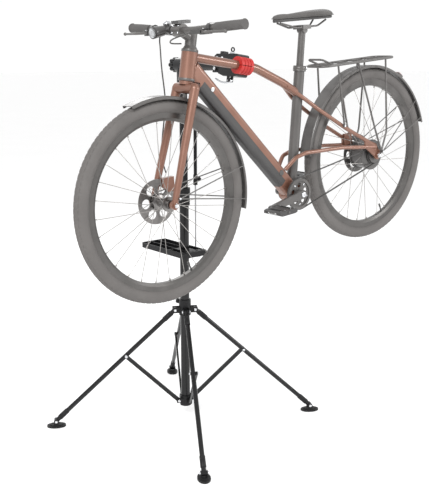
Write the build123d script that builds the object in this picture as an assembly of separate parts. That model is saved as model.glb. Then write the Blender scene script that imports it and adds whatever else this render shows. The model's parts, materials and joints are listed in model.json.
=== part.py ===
from build123d import *
import math
import os

# Repair stand holding a bicycle by its top tube. Millimetres, +Z up, standing on z = 0.
# The bicycle's plane is parallel to XZ and it faces -X. The stand's arm reaches along -Y.

# ---- Clearances ----
RUN_FIT = 0.06  # radial, a pin or shaft in its bore
SIDE_GAP = 0.3  # beside a knuckle, a knob face or a soft pad
SLIDE_FIT = 0.08  # radial, a sleeve on its tube

# ---- Stand: mast ----
MAST_FOOT_Z = 72.0
LOWER_TUBE_R = 19.0
LOWER_TUBE_WALL = 2.0
LOWER_TUBE_TOP_Z = 985.0
UPPER_TUBE_R = 16.0
UPPER_TUBE_WALL = 2.0
UPPER_TUBE_INSERT = 195.0  # length of the upper tube inside the lower one
COLLAR_R = 23.0
COLLAR_BELOW = 55.0  # collar length below and above the lower tube's mouth
COLLAR_ABOVE = 15.0
COLLAR_LEVER_ANGLE = 115.0  # direction of the collar's lever, from +X

# ---- Stand: folding base ----
LEG_ANGLES = (-31.0, 59.0, 149.0, 239.0)
LEG_R = 9.5
LEG_WALL = 1.6
LEG_PIVOT_R = 42.0
LEG_PIVOT_Z = 488.0
HUB_SLEEVE_R = 25.0
HUB_BOTTOM_Z = 466.0
HUB_TOP_Z = 532.0
FOOT_PIVOT_R = 548.0
FOOT_PIVOT_Z = 24.0
FOOT_PAD_LENGTH = 78.0
FOOT_PAD_WIDTH = 50.0
FOOT_PAD_T = 7.0
EAR_T = 4.0
PIN_R = 3.0
BOLT_HEAD_R = 6.0
STRUT_ON_LEG = 0.41  # strut pivot's place along the leg
STRUT_T = 8.0
STRUT_DEPTH = 16.0
BASE_PIVOT_R = 30.0
BASE_PIVOT_Z = 88.0
BASE_HUB_R = 24.0
BASE_HUB_TOP_Z = 108.0
HUB_KNOB_R = 11.0
HUB_KNOB_Z = 518.0

# ---- Stand: tool tray ----
TRAY_TOP_Z = 746.0
TRAY_H = 22.0
TRAY_WIDTH = 120.0
TRAY_LENGTH = 285.0
TRAY_MAST_INSET = 70.0  # mast axis to the tray's near end
TRAY_WALL = 3.0

# ---- Stand: head, arm and clamp ----
ARM_Z = 1485.0
ARM_REACH = 350.0
HEAD_BARREL_R = 27.0
HEAD_BARREL_HALF = 34.0
HEAD_SOCKET_R = 25.0
HEAD_SOCKET_BOTTOM_Z = 1408.0
SPIGOT_R = 14.0
ARM_ROOT_R = 22.0
ARM_TIP_R = 18.5
HEAD_KNOB_R = 29.0
HEAD_KNOB_T = 22.0
HEAD_KNOB_LOBES = 8
JAW_LENGTH = 132.0  # along the arm, back of the clamp body to the clamped tube
JAW_WIDTH = 56.0
JAW_HEIGHT = 40.0
PAD_R = 31.0
PAD_HALF_WIDTH = 29.0
JAW_PIVOT_BACK = 118.0  # clamped tube to the lower jaw's pivot
JAW_SPLIT = 2.0  # gap between the jaws
LEVER_LENGTH = 82.0

# ---- Stand: steadying rod ----
HOLDER_X = 72.0
HOLDER_Y = 16.0
HOLDER_PIVOT_Z = 1462.0
HOLDER_TUBE_R = 7.0
HOLDER_TUBE_END_Z = 1003.0
HOLDER_ROD_R = 3.2
HOLDER_ROD_END_Z = 712.0
HOLDER_HOOK_R = 15.0
HOLDER_EYE_HALF = 7.6

# ---- Bicycle, in its own frame: x forward and z up from the rear axle, y to the drive side ----
NOSE_DOWN = 5.0  # how far the hanging bicycle tips forward
CLAMP_POINT = (662.0, 428.0)  # centre of the clamped tube
WHEELBASE = 1062.0
TYRE_OUTER_R = 356.0
TYRE_HALF = 25.0
RIM_OUTER_R = 311.0
RIM_INNER_R = 283.0
RIM_HALF = 14.0
SPOKE_COUNT = 28
SPOKE_R = 1.1
AXLE_R = 6.0
DISC_R = 80.0
DISC_T = 2.0
DISC_HOLES = 6
DISC_HOLE_R = 17.0
DISC_HOLE_PCR = 48.0
FRONT_DISC_Y = -40.0
REAR_DISC_Y = -50.0
FRONT_FLANGE_R = 26.0
FRONT_FLANGE_Y = 25.0
MOTOR_R = 58.0
MOTOR_FLANGE_R = 63.0
MOTOR_HALF = 41.0
MOTOR_FLANGE_Y = 28.0
SPROCKET_R = 33.0
BELT_Y = 47.0
BELT_WIDTH = 8.0
BELT_T = 3.0
CHAINRING_R = 60.0
CHAINRING_T = 4.0
BB_POINT = (447.0, -80.0)
BB_SHELL_R = 25.0
BB_SHELL_HALF = 36.0
BB_AXLE_R = 12.0
CRANK_LENGTH = 170.0
CRANK_ANGLE = -8.0  # drive-side crank, from straight ahead
CRANK_Y = 58.0
CRANK_T = 12.0
PEDAL_LENGTH = 92.0
PEDAL_WIDTH = 88.0
PEDAL_T = 18.0
HEAD_ANGLE = 76.5
FORK_RAKE = 42.0
HEAD_TUBE_R = 28.0
HEAD_TUBE_BOTTOM_Z = 402.0
HEAD_TUBE_TOP_Z = 506.0
STEERER_R = 14.3
CROWN_Z = 378.0
CROWN_R = 19.0
BLADE_TOP_R = 16.5
BLADE_END_R = 11.0
BLADE_TOP_Y = 50.0
BLADE_END_Y = 62.0
SEAT_ANGLE = 81.0
SEAT_TUBE_R = 20.0
SEAT_TUBE_TOP_Z = 400.0
SEATPOST_R = 13.6
SEATPOST_INSERT = 160.0
SADDLE_CLAMP_Z = 540.0
TOP_TUBE_R = 16.0
TOP_TUBE_HEAD_Z = 479.0
TOP_TUBE_HEAD_INSET = 13.8  # steering axis back to the top tube's end
DOWN_TUBE_DEPTH = 66.0
DOWN_TUBE_WIDTH = 52.0
DOWN_TUBE_HEAD_Z = 440.0
DOWN_TUBE_HEAD_INSET = 8.2  # steering axis back to the down tube's end
DOWN_TUBE_FOOT = (464.0, -60.0)
BATTERY_DEPTH = 34.0
STAY_R = 8.0
DROPOUT_Y = 59.0
DROPOUT_T = 7.0
FENDER_R = 364.0
FENDER_T = 2.5
FENDER_HALF = 28.0
BAR_Z = 572.0
BAR_AHEAD = 54.5  # steering axis forward to the bar's centre
BAR_R = 11.1
BAR_CENTRE_R = 15.9
BAR_HALF = 305.0
GRIP_LENGTH = 125.0
GRIP_R = 16.0
RACK_Z = 389.0
RACK_FRONT_X = 290.0
RACK_REAR_X = -135.0
RACK_HALF = 55.0
RACK_TUBE_R = 5.0
HOSE_R = 2.4

# ---- Placing ----
STEER_COT = 1 / math.tan(math.radians(HEAD_ANGLE))
STEER_FOOT_X = WHEELBASE - FORK_RAKE / math.sin(math.radians(HEAD_ANGLE))
SEAT_COT = 1 / math.tan(math.radians(SEAT_ANGLE))
TOP_TUBE_HEAD = (STEER_FOOT_X - TOP_TUBE_HEAD_Z * STEER_COT - TOP_TUBE_HEAD_INSET, TOP_TUBE_HEAD_Z)
DOWN_TUBE_HEAD = (STEER_FOOT_X - DOWN_TUBE_HEAD_Z * STEER_COT - DOWN_TUBE_HEAD_INSET, DOWN_TUBE_HEAD_Z)
BAR_POINT = (STEER_FOOT_X - BAR_Z * STEER_COT + BAR_AHEAD, BAR_Z)
TUBE_SLOPE = math.degrees(
    math.atan2(TOP_TUBE_HEAD[1] - CLAMP_POINT[1], TOP_TUBE_HEAD[0] - CLAMP_POINT[0])
)
BIKE = (
    Pos(0, -ARM_REACH, ARM_Z)
    * Rot(0, 0, 180)
    * Rot(0, NOSE_DOWN, 0)
    * Pos(-CLAMP_POINT[0], 0, -CLAMP_POINT[1])
)
# The clamp's frame: x along the clamped tube, y back towards the mast, z up through the jaws.
CLAMP = Pos(0, -ARM_REACH, ARM_Z) * Rot(0, TUBE_SLOPE - NOSE_DOWN, 0)
LOW = (Align.CENTER, Align.CENTER, Align.MIN)


def steer_point(z):
    """The steering axis at height z of the bicycle's frame."""
    return (STEER_FOOT_X - z * STEER_COT, 0, z)


def seat_point(z):
    """The seat tube's axis at height z of the bicycle's frame."""
    return (BB_POINT[0] - (z - BB_POINT[1]) * SEAT_COT, 0, z)


def rod(start, end, radius, end_radius=None, bore=0.0):
    """A round bar or a taper between two points, hollow where a bore is given."""
    start, end = Vector(*start), Vector(*end)
    length = (end - start).length
    if end_radius is None:
        solid = Cylinder(radius, length, align=LOW)
    else:
        solid = Cone(radius, end_radius, length, align=LOW)
    if bore:
        solid -= Cylinder(bore, length, align=LOW)
    return Plane(origin=start, z_dir=end - start).location * solid


def block(x0, x1, y0, y1, z0, z1):
    """A box between two corners."""
    middle = Pos((x0 + x1) / 2, (y0 + y1) / 2, (z0 + z1) / 2)
    return middle * Box(abs(x1 - x0), abs(y1 - y0), abs(z1 - z0))


def slab(outline, y0, y1):
    """A plate between two y values, cut to an outline of (x, z) points."""
    edge = Polyline(*[(x, y0, z) for x, z in outline], close=True)
    return extrude(make_face(edge), amount=y1 - y0, dir=(0, 1, 0))


def across(x, z, radius, y0, y1):
    """A round bar along y."""
    return rod((x, y0, z), (x, y1, z), radius)


def ring(profile):
    """A solid of revolution about y, from (radius, y) points."""
    edge = Polyline(*[(r, y, 0) for r, y in profile], close=True)
    return revolve(make_face(edge), Axis.Y, 360)


def bent_bar(points, radius, section):
    """A round bar along straight runs joined by tangent arcs of one radius."""
    path = FilletPolyline(*points, radius=radius)
    start = Plane(origin=path @ 0, z_dir=path % 0)
    return sweep(start * Circle(section), path=path)


def star(radius, lobes, length):
    """A knob of round lobes, its axis along +Z from z = 0."""
    lobe_r = radius * 0.3
    body = Cylinder(radius - lobe_r * 0.8, length, align=LOW)
    for turn in range(lobes):
        spot = Rot(0, 0, 360 / lobes * turn) * Pos(radius - lobe_r, 0, 0)
        body += spot * Cylinder(lobe_r, length, align=LOW)
    return body


# ---- Stand ----
def mast_lower_tube():
    tube = rod((0, 0, MAST_FOOT_Z), (0, 0, LOWER_TUBE_TOP_Z), LOWER_TUBE_R)
    bore = LOWER_TUBE_R - LOWER_TUBE_WALL
    return tube - rod((0, 0, BASE_HUB_TOP_Z), (0, 0, LOWER_TUBE_TOP_Z), bore)


def mast_collar():
    """Plastic collar over the lower tube's mouth, with the ears of its clamp lever."""
    low_z = LOWER_TUBE_TOP_Z - COLLAR_BELOW
    high_z = LOWER_TUBE_TOP_Z + COLLAR_ABOVE
    body = rod((0, 0, low_z), (0, 0, high_z), COLLAR_R)
    body += rod((0, 0, high_z - 30), (0, 0, high_z), COLLAR_R + 2)
    for z in (high_z - 26, high_z - 8):
        body += block(COLLAR_R - 4, COLLAR_R + 14, -7, 7, z, z + 5)
    body -= rod((0, 0, low_z), (0, 0, LOWER_TUBE_TOP_Z), LOWER_TUBE_R)
    body -= rod((0, 0, low_z), (0, 0, high_z), UPPER_TUBE_R + SLIDE_FIT)
    return Rot(0, 0, COLLAR_LEVER_ANGLE) * body


def collar_lever():
    """Cam lever lying along the collar, turning about an upright pin."""
    low_z = LOWER_TUBE_TOP_Z + COLLAR_ABOVE - 21 + SIDE_GAP
    high_z = LOWER_TUBE_TOP_Z + COLLAR_ABOVE - 8 - SIDE_GAP
    pivot_x = COLLAR_R + 9
    cam = rod((pivot_x, 0, low_z), (pivot_x, 0, high_z), 4.5)
    arm = block(pivot_x - 2, pivot_x + 3, 2, 52, low_z + 1, high_z - 1)
    return Rot(0, 0, COLLAR_LEVER_ANGLE) * (cam + arm)


def mast_upper_tube():
    low_z = LOWER_TUBE_TOP_Z - UPPER_TUBE_INSERT
    high_z = ARM_Z - HEAD_BARREL_R + 4
    return rod((0, 0, low_z), (0, 0, high_z), UPPER_TUBE_R, bore=UPPER_TUBE_R - UPPER_TUBE_WALL)


def ear_pair(x0, x1, y_mid, half_gap, z0, z1):
    """Two upright ears either side of a gap centred on y_mid."""
    inner = block(x0, x1, y_mid - half_gap - EAR_T, y_mid - half_gap, z0, z1)
    return inner + block(x0, x1, y_mid + half_gap, y_mid + half_gap + EAR_T, z0, z1)


def pin(x, z, y0, y1):
    """A pivot bolt along y with a head at each end."""
    bolt = across(x, z, PIN_R, y0, y1)
    bolt += across(x, z, BOLT_HEAD_R, y0 - 3, y0)
    return bolt + across(x, z, BOLT_HEAD_R, y1, y1 + 3)


def leg_hub():
    """Sliding sleeve with four pairs of ears and the four leg bolts."""
    half_gap = LEG_R + SIDE_GAP
    sleeve = rod((0, 0, HUB_BOTTOM_Z), (0, 0, HUB_TOP_Z), HUB_SLEEVE_R)
    ears = ear_pair(0, LEG_PIVOT_R + 10, 0, half_gap, LEG_PIVOT_Z - 12, LEG_PIVOT_Z + 12)
    ears -= across(LEG_PIVOT_R, LEG_PIVOT_Z, PIN_R, -30, 30)
    for angle in LEG_ANGLES:
        sleeve += Rot(0, 0, angle) * ears
    knob_turn = Rot(0, 0, LEG_ANGLES[2] - 45)
    sleeve -= rod((0, 0, HUB_BOTTOM_Z), (0, 0, HUB_TOP_Z), LOWER_TUBE_R + SLIDE_FIT)
    stud_bore = rod((LOWER_TUBE_R, 0, HUB_KNOB_Z), (60, 0, HUB_KNOB_Z), PIN_R + RUN_FIT)
    solids = [sleeve - knob_turn * stud_bore]
    for angle in LEG_ANGLES:
        reach = half_gap + EAR_T
        solids.append(Rot(0, 0, angle) * pin(LEG_PIVOT_R, LEG_PIVOT_Z, -reach, reach))
    return Compound(children=[s for part in solids for s in part.solids()])


def hub_knob():
    """Locking screw that bears on the mast through the sleeve."""
    screw = rod((LOWER_TUBE_R + SIDE_GAP, 0, HUB_KNOB_Z), (HUB_SLEEVE_R + 6, 0, HUB_KNOB_Z), PIN_R)
    base = Plane(origin=(HUB_SLEEVE_R + 4, 0, HUB_KNOB_Z), z_dir=(1, 0, 0)).location
    return Rot(0, 0, LEG_ANGLES[2] - 45) * (screw + base * star(HUB_KNOB_R, 6, 13))


def leg_point(share):
    """A point along the leg's axis, share 0 at its hub bolt and 1 at its foot bolt."""
    x = LEG_PIVOT_R + share * (FOOT_PIVOT_R - LEG_PIVOT_R)
    return (x, LEG_PIVOT_Z + share * (FOOT_PIVOT_Z - LEG_PIVOT_Z))


def leg():
    """Round tube with plugged ends and the strut's boss, in the XZ plane."""
    top, foot, knee = leg_point(0), leg_point(1), leg_point(STRUT_ON_LEG)
    tube = rod((top[0], 0, top[1]), (foot[0], 0, foot[1]), LEG_R)
    inner_top, inner_foot = leg_point(0.03), leg_point(0.97)
    tube -= rod((inner_top[0], 0, inner_top[1]), (inner_foot[0], 0, inner_foot[1]), LEG_R - LEG_WALL)
    for x, z in (top, foot):
        tube += across(x, z, LEG_R + 0.6, -LEG_R + 0.1, LEG_R - 0.1)
    tube += across(knee[0], knee[1], BOLT_HEAD_R, -LEG_R - 2, LEG_R + SIDE_GAP)
    tube -= across(top[0], top[1], PIN_R + RUN_FIT, -20, 20)
    return tube - across(foot[0], foot[1], PIN_R + RUN_FIT, -20, 20)


def strut_y():
    """The strut's near face, just clear of the boss on the leg."""
    return LEG_R + 2 * SIDE_GAP


def strut():
    """Flat bar from the base hub to the leg's side, with its upper bolt's head."""
    knee = leg_point(STRUT_ON_LEG)
    y0, y1 = strut_y(), strut_y() + STRUT_T
    run = Vector(knee[0] - BASE_PIVOT_R, 0, knee[1] - BASE_PIVOT_Z)
    plane = Plane(origin=(BASE_PIVOT_R, y0, BASE_PIVOT_Z), x_dir=run.normalized(), z_dir=(0, 1, 0))
    bar = plane.location * Pos(run.length / 2, 0, STRUT_T / 2) * Box(run.length, STRUT_DEPTH, STRUT_T)
    for x, z in (knee, (BASE_PIVOT_R, BASE_PIVOT_Z)):
        bar += across(x, z, STRUT_DEPTH / 2, y0, y1)
    bar += across(knee[0], knee[1], BOLT_HEAD_R, y1, y1 + 3)
    return bar - across(BASE_PIVOT_R, BASE_PIVOT_Z, PIN_R + RUN_FIT, y0 - 1, y1 + 1)


def lower_hub():
    """Plug and collar at the mast's foot with four pairs of ears and the strut bolts."""
    mid_y, half_gap = strut_y() + STRUT_T / 2, STRUT_T / 2 + SIDE_GAP
    body = rod((0, 0, MAST_FOOT_Z - 8), (0, 0, BASE_HUB_TOP_Z), BASE_HUB_R)
    ears = ear_pair(8, BASE_PIVOT_R + 9, mid_y, half_gap, BASE_PIVOT_Z - 9, BASE_PIVOT_Z + 9)
    ears -= across(BASE_PIVOT_R, BASE_PIVOT_Z, PIN_R, 0, 40)
    for angle in LEG_ANGLES:
        body += Rot(0, 0, angle) * ears
    gap = across(BASE_PIVOT_R, BASE_PIVOT_Z, STRUT_DEPTH / 2 + 2, mid_y - half_gap, mid_y + half_gap)
    for angle in LEG_ANGLES:
        body -= Rot(0, 0, angle) * gap
    body -= rod((0, 0, MAST_FOOT_Z), (0, 0, BASE_HUB_TOP_Z), LOWER_TUBE_R)
    y0, y1 = mid_y - half_gap - EAR_T, mid_y + half_gap + EAR_T
    solids = [body]
    for angle in LEG_ANGLES:
        bolt = across(BASE_PIVOT_R, BASE_PIVOT_Z, PIN_R, y0, y1)
        bolt += across(BASE_PIVOT_R, BASE_PIVOT_Z, BOLT_HEAD_R, y1, y1 + 3)
        solids.append(Rot(0, 0, angle) * bolt)
    return Compound(children=[s for part in solids for s in part.solids()])


def foot():
    """Oval pad with two ears, and the bolt through the leg's end."""
    pad = Pos(FOOT_PIVOT_R, 0, 0) * extrude(Ellipse(FOOT_PAD_LENGTH / 2, FOOT_PAD_WIDTH / 2), FOOT_PAD_T)
    dome = Ellipse(FOOT_PAD_LENGTH * 0.36, FOOT_PAD_WIDTH * 0.36)
    pad += Pos(FOOT_PIVOT_R, 0, FOOT_PAD_T) * extrude(dome, 4)
    half_gap = LEG_R + SIDE_GAP
    pad += ear_pair(FOOT_PIVOT_R - 10, FOOT_PIVOT_R + 10, 0, half_gap, 4, FOOT_PIVOT_Z)
    for side in (-1, 1):
        y0, y1 = side * half_gap, side * (half_gap + EAR_T)
        pad += across(FOOT_PIVOT_R, FOOT_PIVOT_Z, 10, min(y0, y1), max(y0, y1))
    reach = half_gap + EAR_T
    pad -= across(FOOT_PIVOT_R, FOOT_PIVOT_Z, PIN_R, -reach, reach)
    bolt = pin(FOOT_PIVOT_R, FOOT_PIVOT_Z, -reach, reach)
    return Compound(children=[*pad.solids(), *bolt.solids()])


def tool_tray():
    """Open tray with long troughs, a row of tool holes and a boss round the mast."""
    x, y0, y1 = TRAY_WIDTH / 2, -TRAY_MAST_INSET, TRAY_LENGTH - TRAY_MAST_INSET
    low_z = TRAY_TOP_Z - TRAY_H
    tray = block(-x, x, y0, y1, low_z, TRAY_TOP_Z)
    trough_y0, trough_y1 = LOWER_TUBE_R + 14, y1 - TRAY_WALL
    inner = 2 * x - 2 * TRAY_WALL
    trough_w = (inner - 2 * TRAY_WALL) / 3
    for n in range(3):
        left = -x + TRAY_WALL + n * (trough_w + TRAY_WALL)
        tray -= block(left, left + trough_w, trough_y0, trough_y1, low_z + TRAY_WALL, TRAY_TOP_Z)
    for n in range(5):
        hole_x = (n - 2) * TRAY_WIDTH / 5.5
        tray -= rod((hole_x, y0 + 16, low_z), (hole_x, y0 + 16, TRAY_TOP_Z), 5)
    for side in (-1, 1):
        pocket = sorted((side * (LOWER_TUBE_R + 8), side * (x - TRAY_WALL)))
        tray -= block(*pocket, y0 + 30, trough_y0 - TRAY_WALL, low_z + TRAY_WALL, TRAY_TOP_Z)
    return tray - rod((0, 0, low_z), (0, 0, TRAY_TOP_Z), LOWER_TUBE_R)


def mast_head():
    """T casting: a barrel for the arm on a split socket, its bolts, and the rod's lug."""
    y = HEAD_BARREL_HALF
    body = rod((0, -y, ARM_Z), (0, y, ARM_Z), HEAD_BARREL_R)
    body += rod((0, 0, HEAD_SOCKET_BOTTOM_Z), (0, 0, ARM_Z), HEAD_SOCKET_R)
    ear_x = HEAD_SOCKET_R + 12
    body += block(0, ear_x, -15, 0, HEAD_SOCKET_BOTTOM_Z + 2, HEAD_SOCKET_BOTTOM_Z + 44)
    lug_y0, lug_y1 = 2.0, HOLDER_Y - HOLDER_EYE_HALF - SIDE_GAP
    lug_z = HOLDER_PIVOT_Z
    body += block(0, HOLDER_X, lug_y0, lug_y1, lug_z - 11, lug_z + 11)
    body += across(HOLDER_X, lug_z, 11, lug_y0, lug_y1)
    body += across(HOLDER_X, lug_z, PIN_R, lug_y0, HOLDER_Y + HOLDER_EYE_HALF + 3)
    body -= rod((0, -y, ARM_Z), (0, y, ARM_Z), SPIGOT_R + RUN_FIT)
    body -= rod((0, 0, HEAD_SOCKET_BOTTOM_Z), (0, 0, ARM_Z - HEAD_BARREL_R + 4), UPPER_TUBE_R)
    bolts = []
    for dz in (12, 34):
        z = HEAD_SOCKET_BOTTOM_Z + dz
        shank = rod((ear_x - 7, -15, z), (ear_x - 7, 0, z), PIN_R)
        head = rod((ear_x - 7, -20, z), (ear_x - 7, -15, z), BOLT_HEAD_R)
        body -= rod((ear_x - 7, -15, z), (ear_x - 7, 0, z), PIN_R)
        bolts.append(shank + head)
    return Compound(children=[*body.solids(), *[s for bolt in bolts for s in bolt.solids()]])


def clamp_arm():
    """Tapered arm with the spigot that turns in the head's barrel."""
    root_y = -HEAD_BARREL_HALF - SIDE_GAP
    tip_y = -ARM_REACH + JAW_LENGTH
    arm = rod((0, root_y, ARM_Z), (0, tip_y, ARM_Z), ARM_ROOT_R, ARM_TIP_R)
    arm += rod((0, root_y, ARM_Z), (0, root_y - 12, ARM_Z), HEAD_BARREL_R - 1)
    arm += rod((0, root_y, ARM_Z), (0, HEAD_BARREL_HALF, ARM_Z), SPIGOT_R)
    return arm - rod((0, 0, ARM_Z), (0, HEAD_BARREL_HALF, ARM_Z), 5 + RUN_FIT)


def head_knob():
    y = HEAD_BARREL_HALF + SIDE_GAP
    base = Plane(origin=(0, y, ARM_Z), z_dir=(0, 1, 0)).location
    knob = base * star(HEAD_KNOB_R, HEAD_KNOB_LOBES, HEAD_KNOB_T)
    return knob + rod((0, 4, ARM_Z), (0, y + 1, ARM_Z), 5)


def side_slab(outline, x0, x1):
    """A plate between two x values, cut to an outline of (y, z) points."""
    edge = Polyline(*[(x0, y, z) for y, z in outline], close=True)
    return extrude(make_face(edge), amount=x1 - x0, dir=(1, 0, 0))


def along(y, z, radius, half):
    """A round bar along the clamped tube."""
    return rod((-half, y, z), (half, y, z), radius)


JAW_PIVOT_Z = -14.0
JAW_CHEEK_X = JAW_WIDTH / 2 - 6
SPINDLE_Y = 62.0
CAM_Z = -JAW_HEIGHT - 13


def clamp_body():
    """Upper jaw with the arm's seat, the pivot's cheeks, the adjusting tab and the spindle's eye."""
    half, split = JAW_WIDTH / 2, JAW_SPLIT / 2
    top = JAW_HEIGHT
    outline = [(0, split), (0, top - 4), (6, top), (118, top), (JAW_LENGTH, top - 10), (JAW_LENGTH, split)]
    body = side_slab(outline, -half, half)
    for side in (-1, 1):
        x0, x1 = sorted((side * JAW_CHEEK_X, side * half))
        body += block(x0, x1, JAW_PIVOT_BACK - 14, JAW_LENGTH, -28, split)
    body += block(-half, half, JAW_PIVOT_BACK + 8, JAW_LENGTH, -22, split)
    body += block(-11, 11, 98, 118, top, top + 11)
    body -= along(0, 0, PAD_R, half)
    body -= along(JAW_PIVOT_BACK, JAW_PIVOT_Z, 4, half)
    body -= rod((0, SPINDLE_Y, split), (0, SPINDLE_Y, top), 4)
    hinge = along(JAW_PIVOT_BACK, JAW_PIVOT_Z, 4, half)
    for side in (-1, 1):
        x0, x1 = side * half, side * (half + 4)
        hinge += rod((x0, JAW_PIVOT_BACK, JAW_PIVOT_Z), (x1, JAW_PIVOT_BACK, JAW_PIVOT_Z), 7)
    eye = rod((0, SPINDLE_Y, split), (0, SPINDLE_Y, top + 12), 4)
    eye += rod((0, SPINDLE_Y, top), (0, SPINDLE_Y, top + 5), 8)
    eye += Pos(0, SPINDLE_Y, top + 18) * Rot(90, 0, 0) * Torus(7, 2.6)
    return Compound(children=[s for part in (body, hinge, eye) for s in part.solids()])


def lower_jaw():
    """Hinged jaw with the lower half of the spindle and the ears of its cam."""
    half, split, low = JAW_WIDTH / 2, -JAW_SPLIT / 2, -JAW_HEIGHT
    neck = JAW_CHEEK_X - SIDE_GAP
    outline = [(0, split), (0, low + 4), (6, low), (70, low), (100, low + 9), (100, split)]
    jaw = side_slab(outline, -half, half)
    tail = [(100, split), (100, low + 9), (JAW_PIVOT_BACK, JAW_PIVOT_Z - 7.4), (JAW_PIVOT_BACK, JAW_PIVOT_Z)]
    jaw += side_slab(tail, -neck, neck)
    jaw += along(JAW_PIVOT_BACK, JAW_PIVOT_Z, 7.4, neck)
    for side in (-1, 1):
        x0, x1 = sorted((side * (6 + SIDE_GAP), side * 11))
        jaw += block(x0, x1, SPINDLE_Y - 6, SPINDLE_Y + 6, CAM_Z - 6, low + 1)
    jaw += rod((-11, SPINDLE_Y, CAM_Z), (11, SPINDLE_Y, CAM_Z), PIN_R)
    jaw -= along(0, 0, PAD_R, half)
    return jaw - along(JAW_PIVOT_BACK, JAW_PIVOT_Z, 4 + RUN_FIT, half)


def jaw_lever():
    """Quick-release lever on its cam, swept back under the jaw."""
    lever = rod((-6, SPINDLE_Y, CAM_Z), (6, SPINDLE_Y, CAM_Z), 9)
    tip_y, tip_z = SPINDLE_Y + LEVER_LENGTH, CAM_Z + 8
    blade = [
        (SPINDLE_Y, CAM_Z - 8),
        (SPINDLE_Y + 30, CAM_Z - 10),
        (tip_y, tip_z - 4),
        (tip_y, tip_z + 3),
        (SPINDLE_Y + 40, CAM_Z + 1),
        (SPINDLE_Y, CAM_Z + 3),
    ]
    lever += side_slab(blade, -6, 6)
    return lever - rod((-7, SPINDLE_Y, CAM_Z), (7, SPINDLE_Y, CAM_Z), PIN_R + RUN_FIT)


def jaw_pad(upper):
    """Half of the soft ring round the clamped tube."""
    pad = along(0, 0, PAD_R, PAD_HALF_WIDTH) - along(0, 0, TOP_TUBE_R + SIDE_GAP, PAD_HALF_WIDTH)
    reach = PAD_R + 1
    split = JAW_SPLIT / 2
    drop = block(-reach, reach, -reach, reach, -reach, split)
    if not upper:
        drop = block(-reach, reach, -reach, reach, -split, reach)
    for x in (-14, 0, 14):
        groove = rod((x - 1.5, 0, 0), (x + 1.5, 0, 0), PAD_R + 1)
        groove -= rod((x - 1.5, 0, 0), (x + 1.5, 0, 0), PAD_R - 2)
        pad -= groove & block(-reach, reach, -reach, -1, -reach, reach)
    return pad - drop


def holder_tube():
    """Outer tube of the steadying rod, its eye, end cap and thumb knob."""
    x, y = HOLDER_X, HOLDER_Y
    tube = rod((x, y, HOLDER_TUBE_END_Z), (x, y, HOLDER_PIVOT_Z), HOLDER_TUBE_R)
    tube += across(x, HOLDER_PIVOT_Z, 9, y - HOLDER_EYE_HALF, y + HOLDER_EYE_HALF)
    tube += rod((x, y, HOLDER_TUBE_END_Z), (x, y, HOLDER_TUBE_END_Z + 42), HOLDER_TUBE_R + 2)
    knob_z = HOLDER_TUBE_END_Z + 22
    tube += rod((x, y, knob_z), (x + 18, y, knob_z), 3)
    knob = Plane(origin=(x + 15, y, knob_z), z_dir=(1, 0, 0)).location
    tube += knob * star(9, 5, 9)
    tube -= rod((x, y, HOLDER_TUBE_END_Z), (x, y, HOLDER_PIVOT_Z - 16), HOLDER_ROD_R + SLIDE_FIT)
    return tube - across(x, HOLDER_PIVOT_Z, PIN_R + RUN_FIT, y - 20, y + 20)


def holder_rod():
    """Thin sliding rod that ends in an open hook."""
    x, y, r = HOLDER_X, HOLDER_Y, HOLDER_HOOK_R
    shaft = rod((x, y, HOLDER_ROD_END_Z), (x, y, HOLDER_TUBE_END_Z + 170), HOLDER_ROD_R)
    path = Pos(x + r, y, HOLDER_ROD_END_Z) * Rot(90, 0, 0) * CenterArc((0, 0, 0), r, 180, 180)
    start = Plane(origin=path @ 0, z_dir=path % 0)
    hook = sweep(start * Circle(HOLDER_ROD_R), path=path)
    return shaft + hook


# ---- Bicycle: frame ----
def down_tube_plane():
    """The down tube's frame: z up along the tube from its foot, y through its depth."""
    top = Vector(DOWN_TUBE_HEAD[0], 0, DOWN_TUBE_HEAD[1])
    foot = Vector(DOWN_TUBE_FOOT[0], 0, DOWN_TUBE_FOOT[1])
    return Plane(origin=foot, x_dir=(0, 1, 0), z_dir=top - foot), (top - foot).length


def down_tube():
    plane, run = down_tube_plane()
    return plane.location * extrude(RectangleRounded(DOWN_TUBE_WIDTH, DOWN_TUBE_DEPTH, 16), run)


def head_and_down_tube():
    """Head tube, down tube and bottom bracket shell as welded, and the headset's two bearings."""
    low, high = steer_point(HEAD_TUBE_BOTTOM_Z), steer_point(HEAD_TUBE_TOP_Z)
    shell = across(BB_POINT[0], BB_POINT[1], BB_SHELL_R + 9, -BB_SHELL_HALF, BB_SHELL_HALF)
    frame = rod(low, high, HEAD_TUBE_R) + down_tube() + shell
    frame -= battery_space(0)
    frame -= across(BB_POINT[0], BB_POINT[1], BB_SHELL_R - 5, -BB_SHELL_HALF, BB_SHELL_HALF)
    frame -= rod(steer_point(HEAD_TUBE_BOTTOM_Z - 1), steer_point(HEAD_TUBE_TOP_Z + 1), HEAD_TUBE_R - 7)
    frame -= rod(steer_point(HEAD_TUBE_BOTTOM_Z - 60), low, HEAD_TUBE_R + 20)
    parts = list(frame.solids())
    for z0, z1 in ((HEAD_TUBE_BOTTOM_Z, HEAD_TUBE_BOTTOM_Z + 9), (HEAD_TUBE_TOP_Z - 9, HEAD_TUBE_TOP_Z)):
        parts += rod(steer_point(z0), steer_point(z1), HEAD_TUBE_R - 7, bore=STEERER_R + RUN_FIT).solids()
    for y0, y1 in ((-BB_SHELL_HALF, 10 - BB_SHELL_HALF), (BB_SHELL_HALF - 10, BB_SHELL_HALF)):
        bearing = across(BB_POINT[0], BB_POINT[1], BB_SHELL_R - 5, y0, y1)
        bearing -= across(BB_POINT[0], BB_POINT[1], BB_AXLE_R + RUN_FIT, y0, y1)
        parts += bearing.solids()
    return Compound(children=parts)


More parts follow.
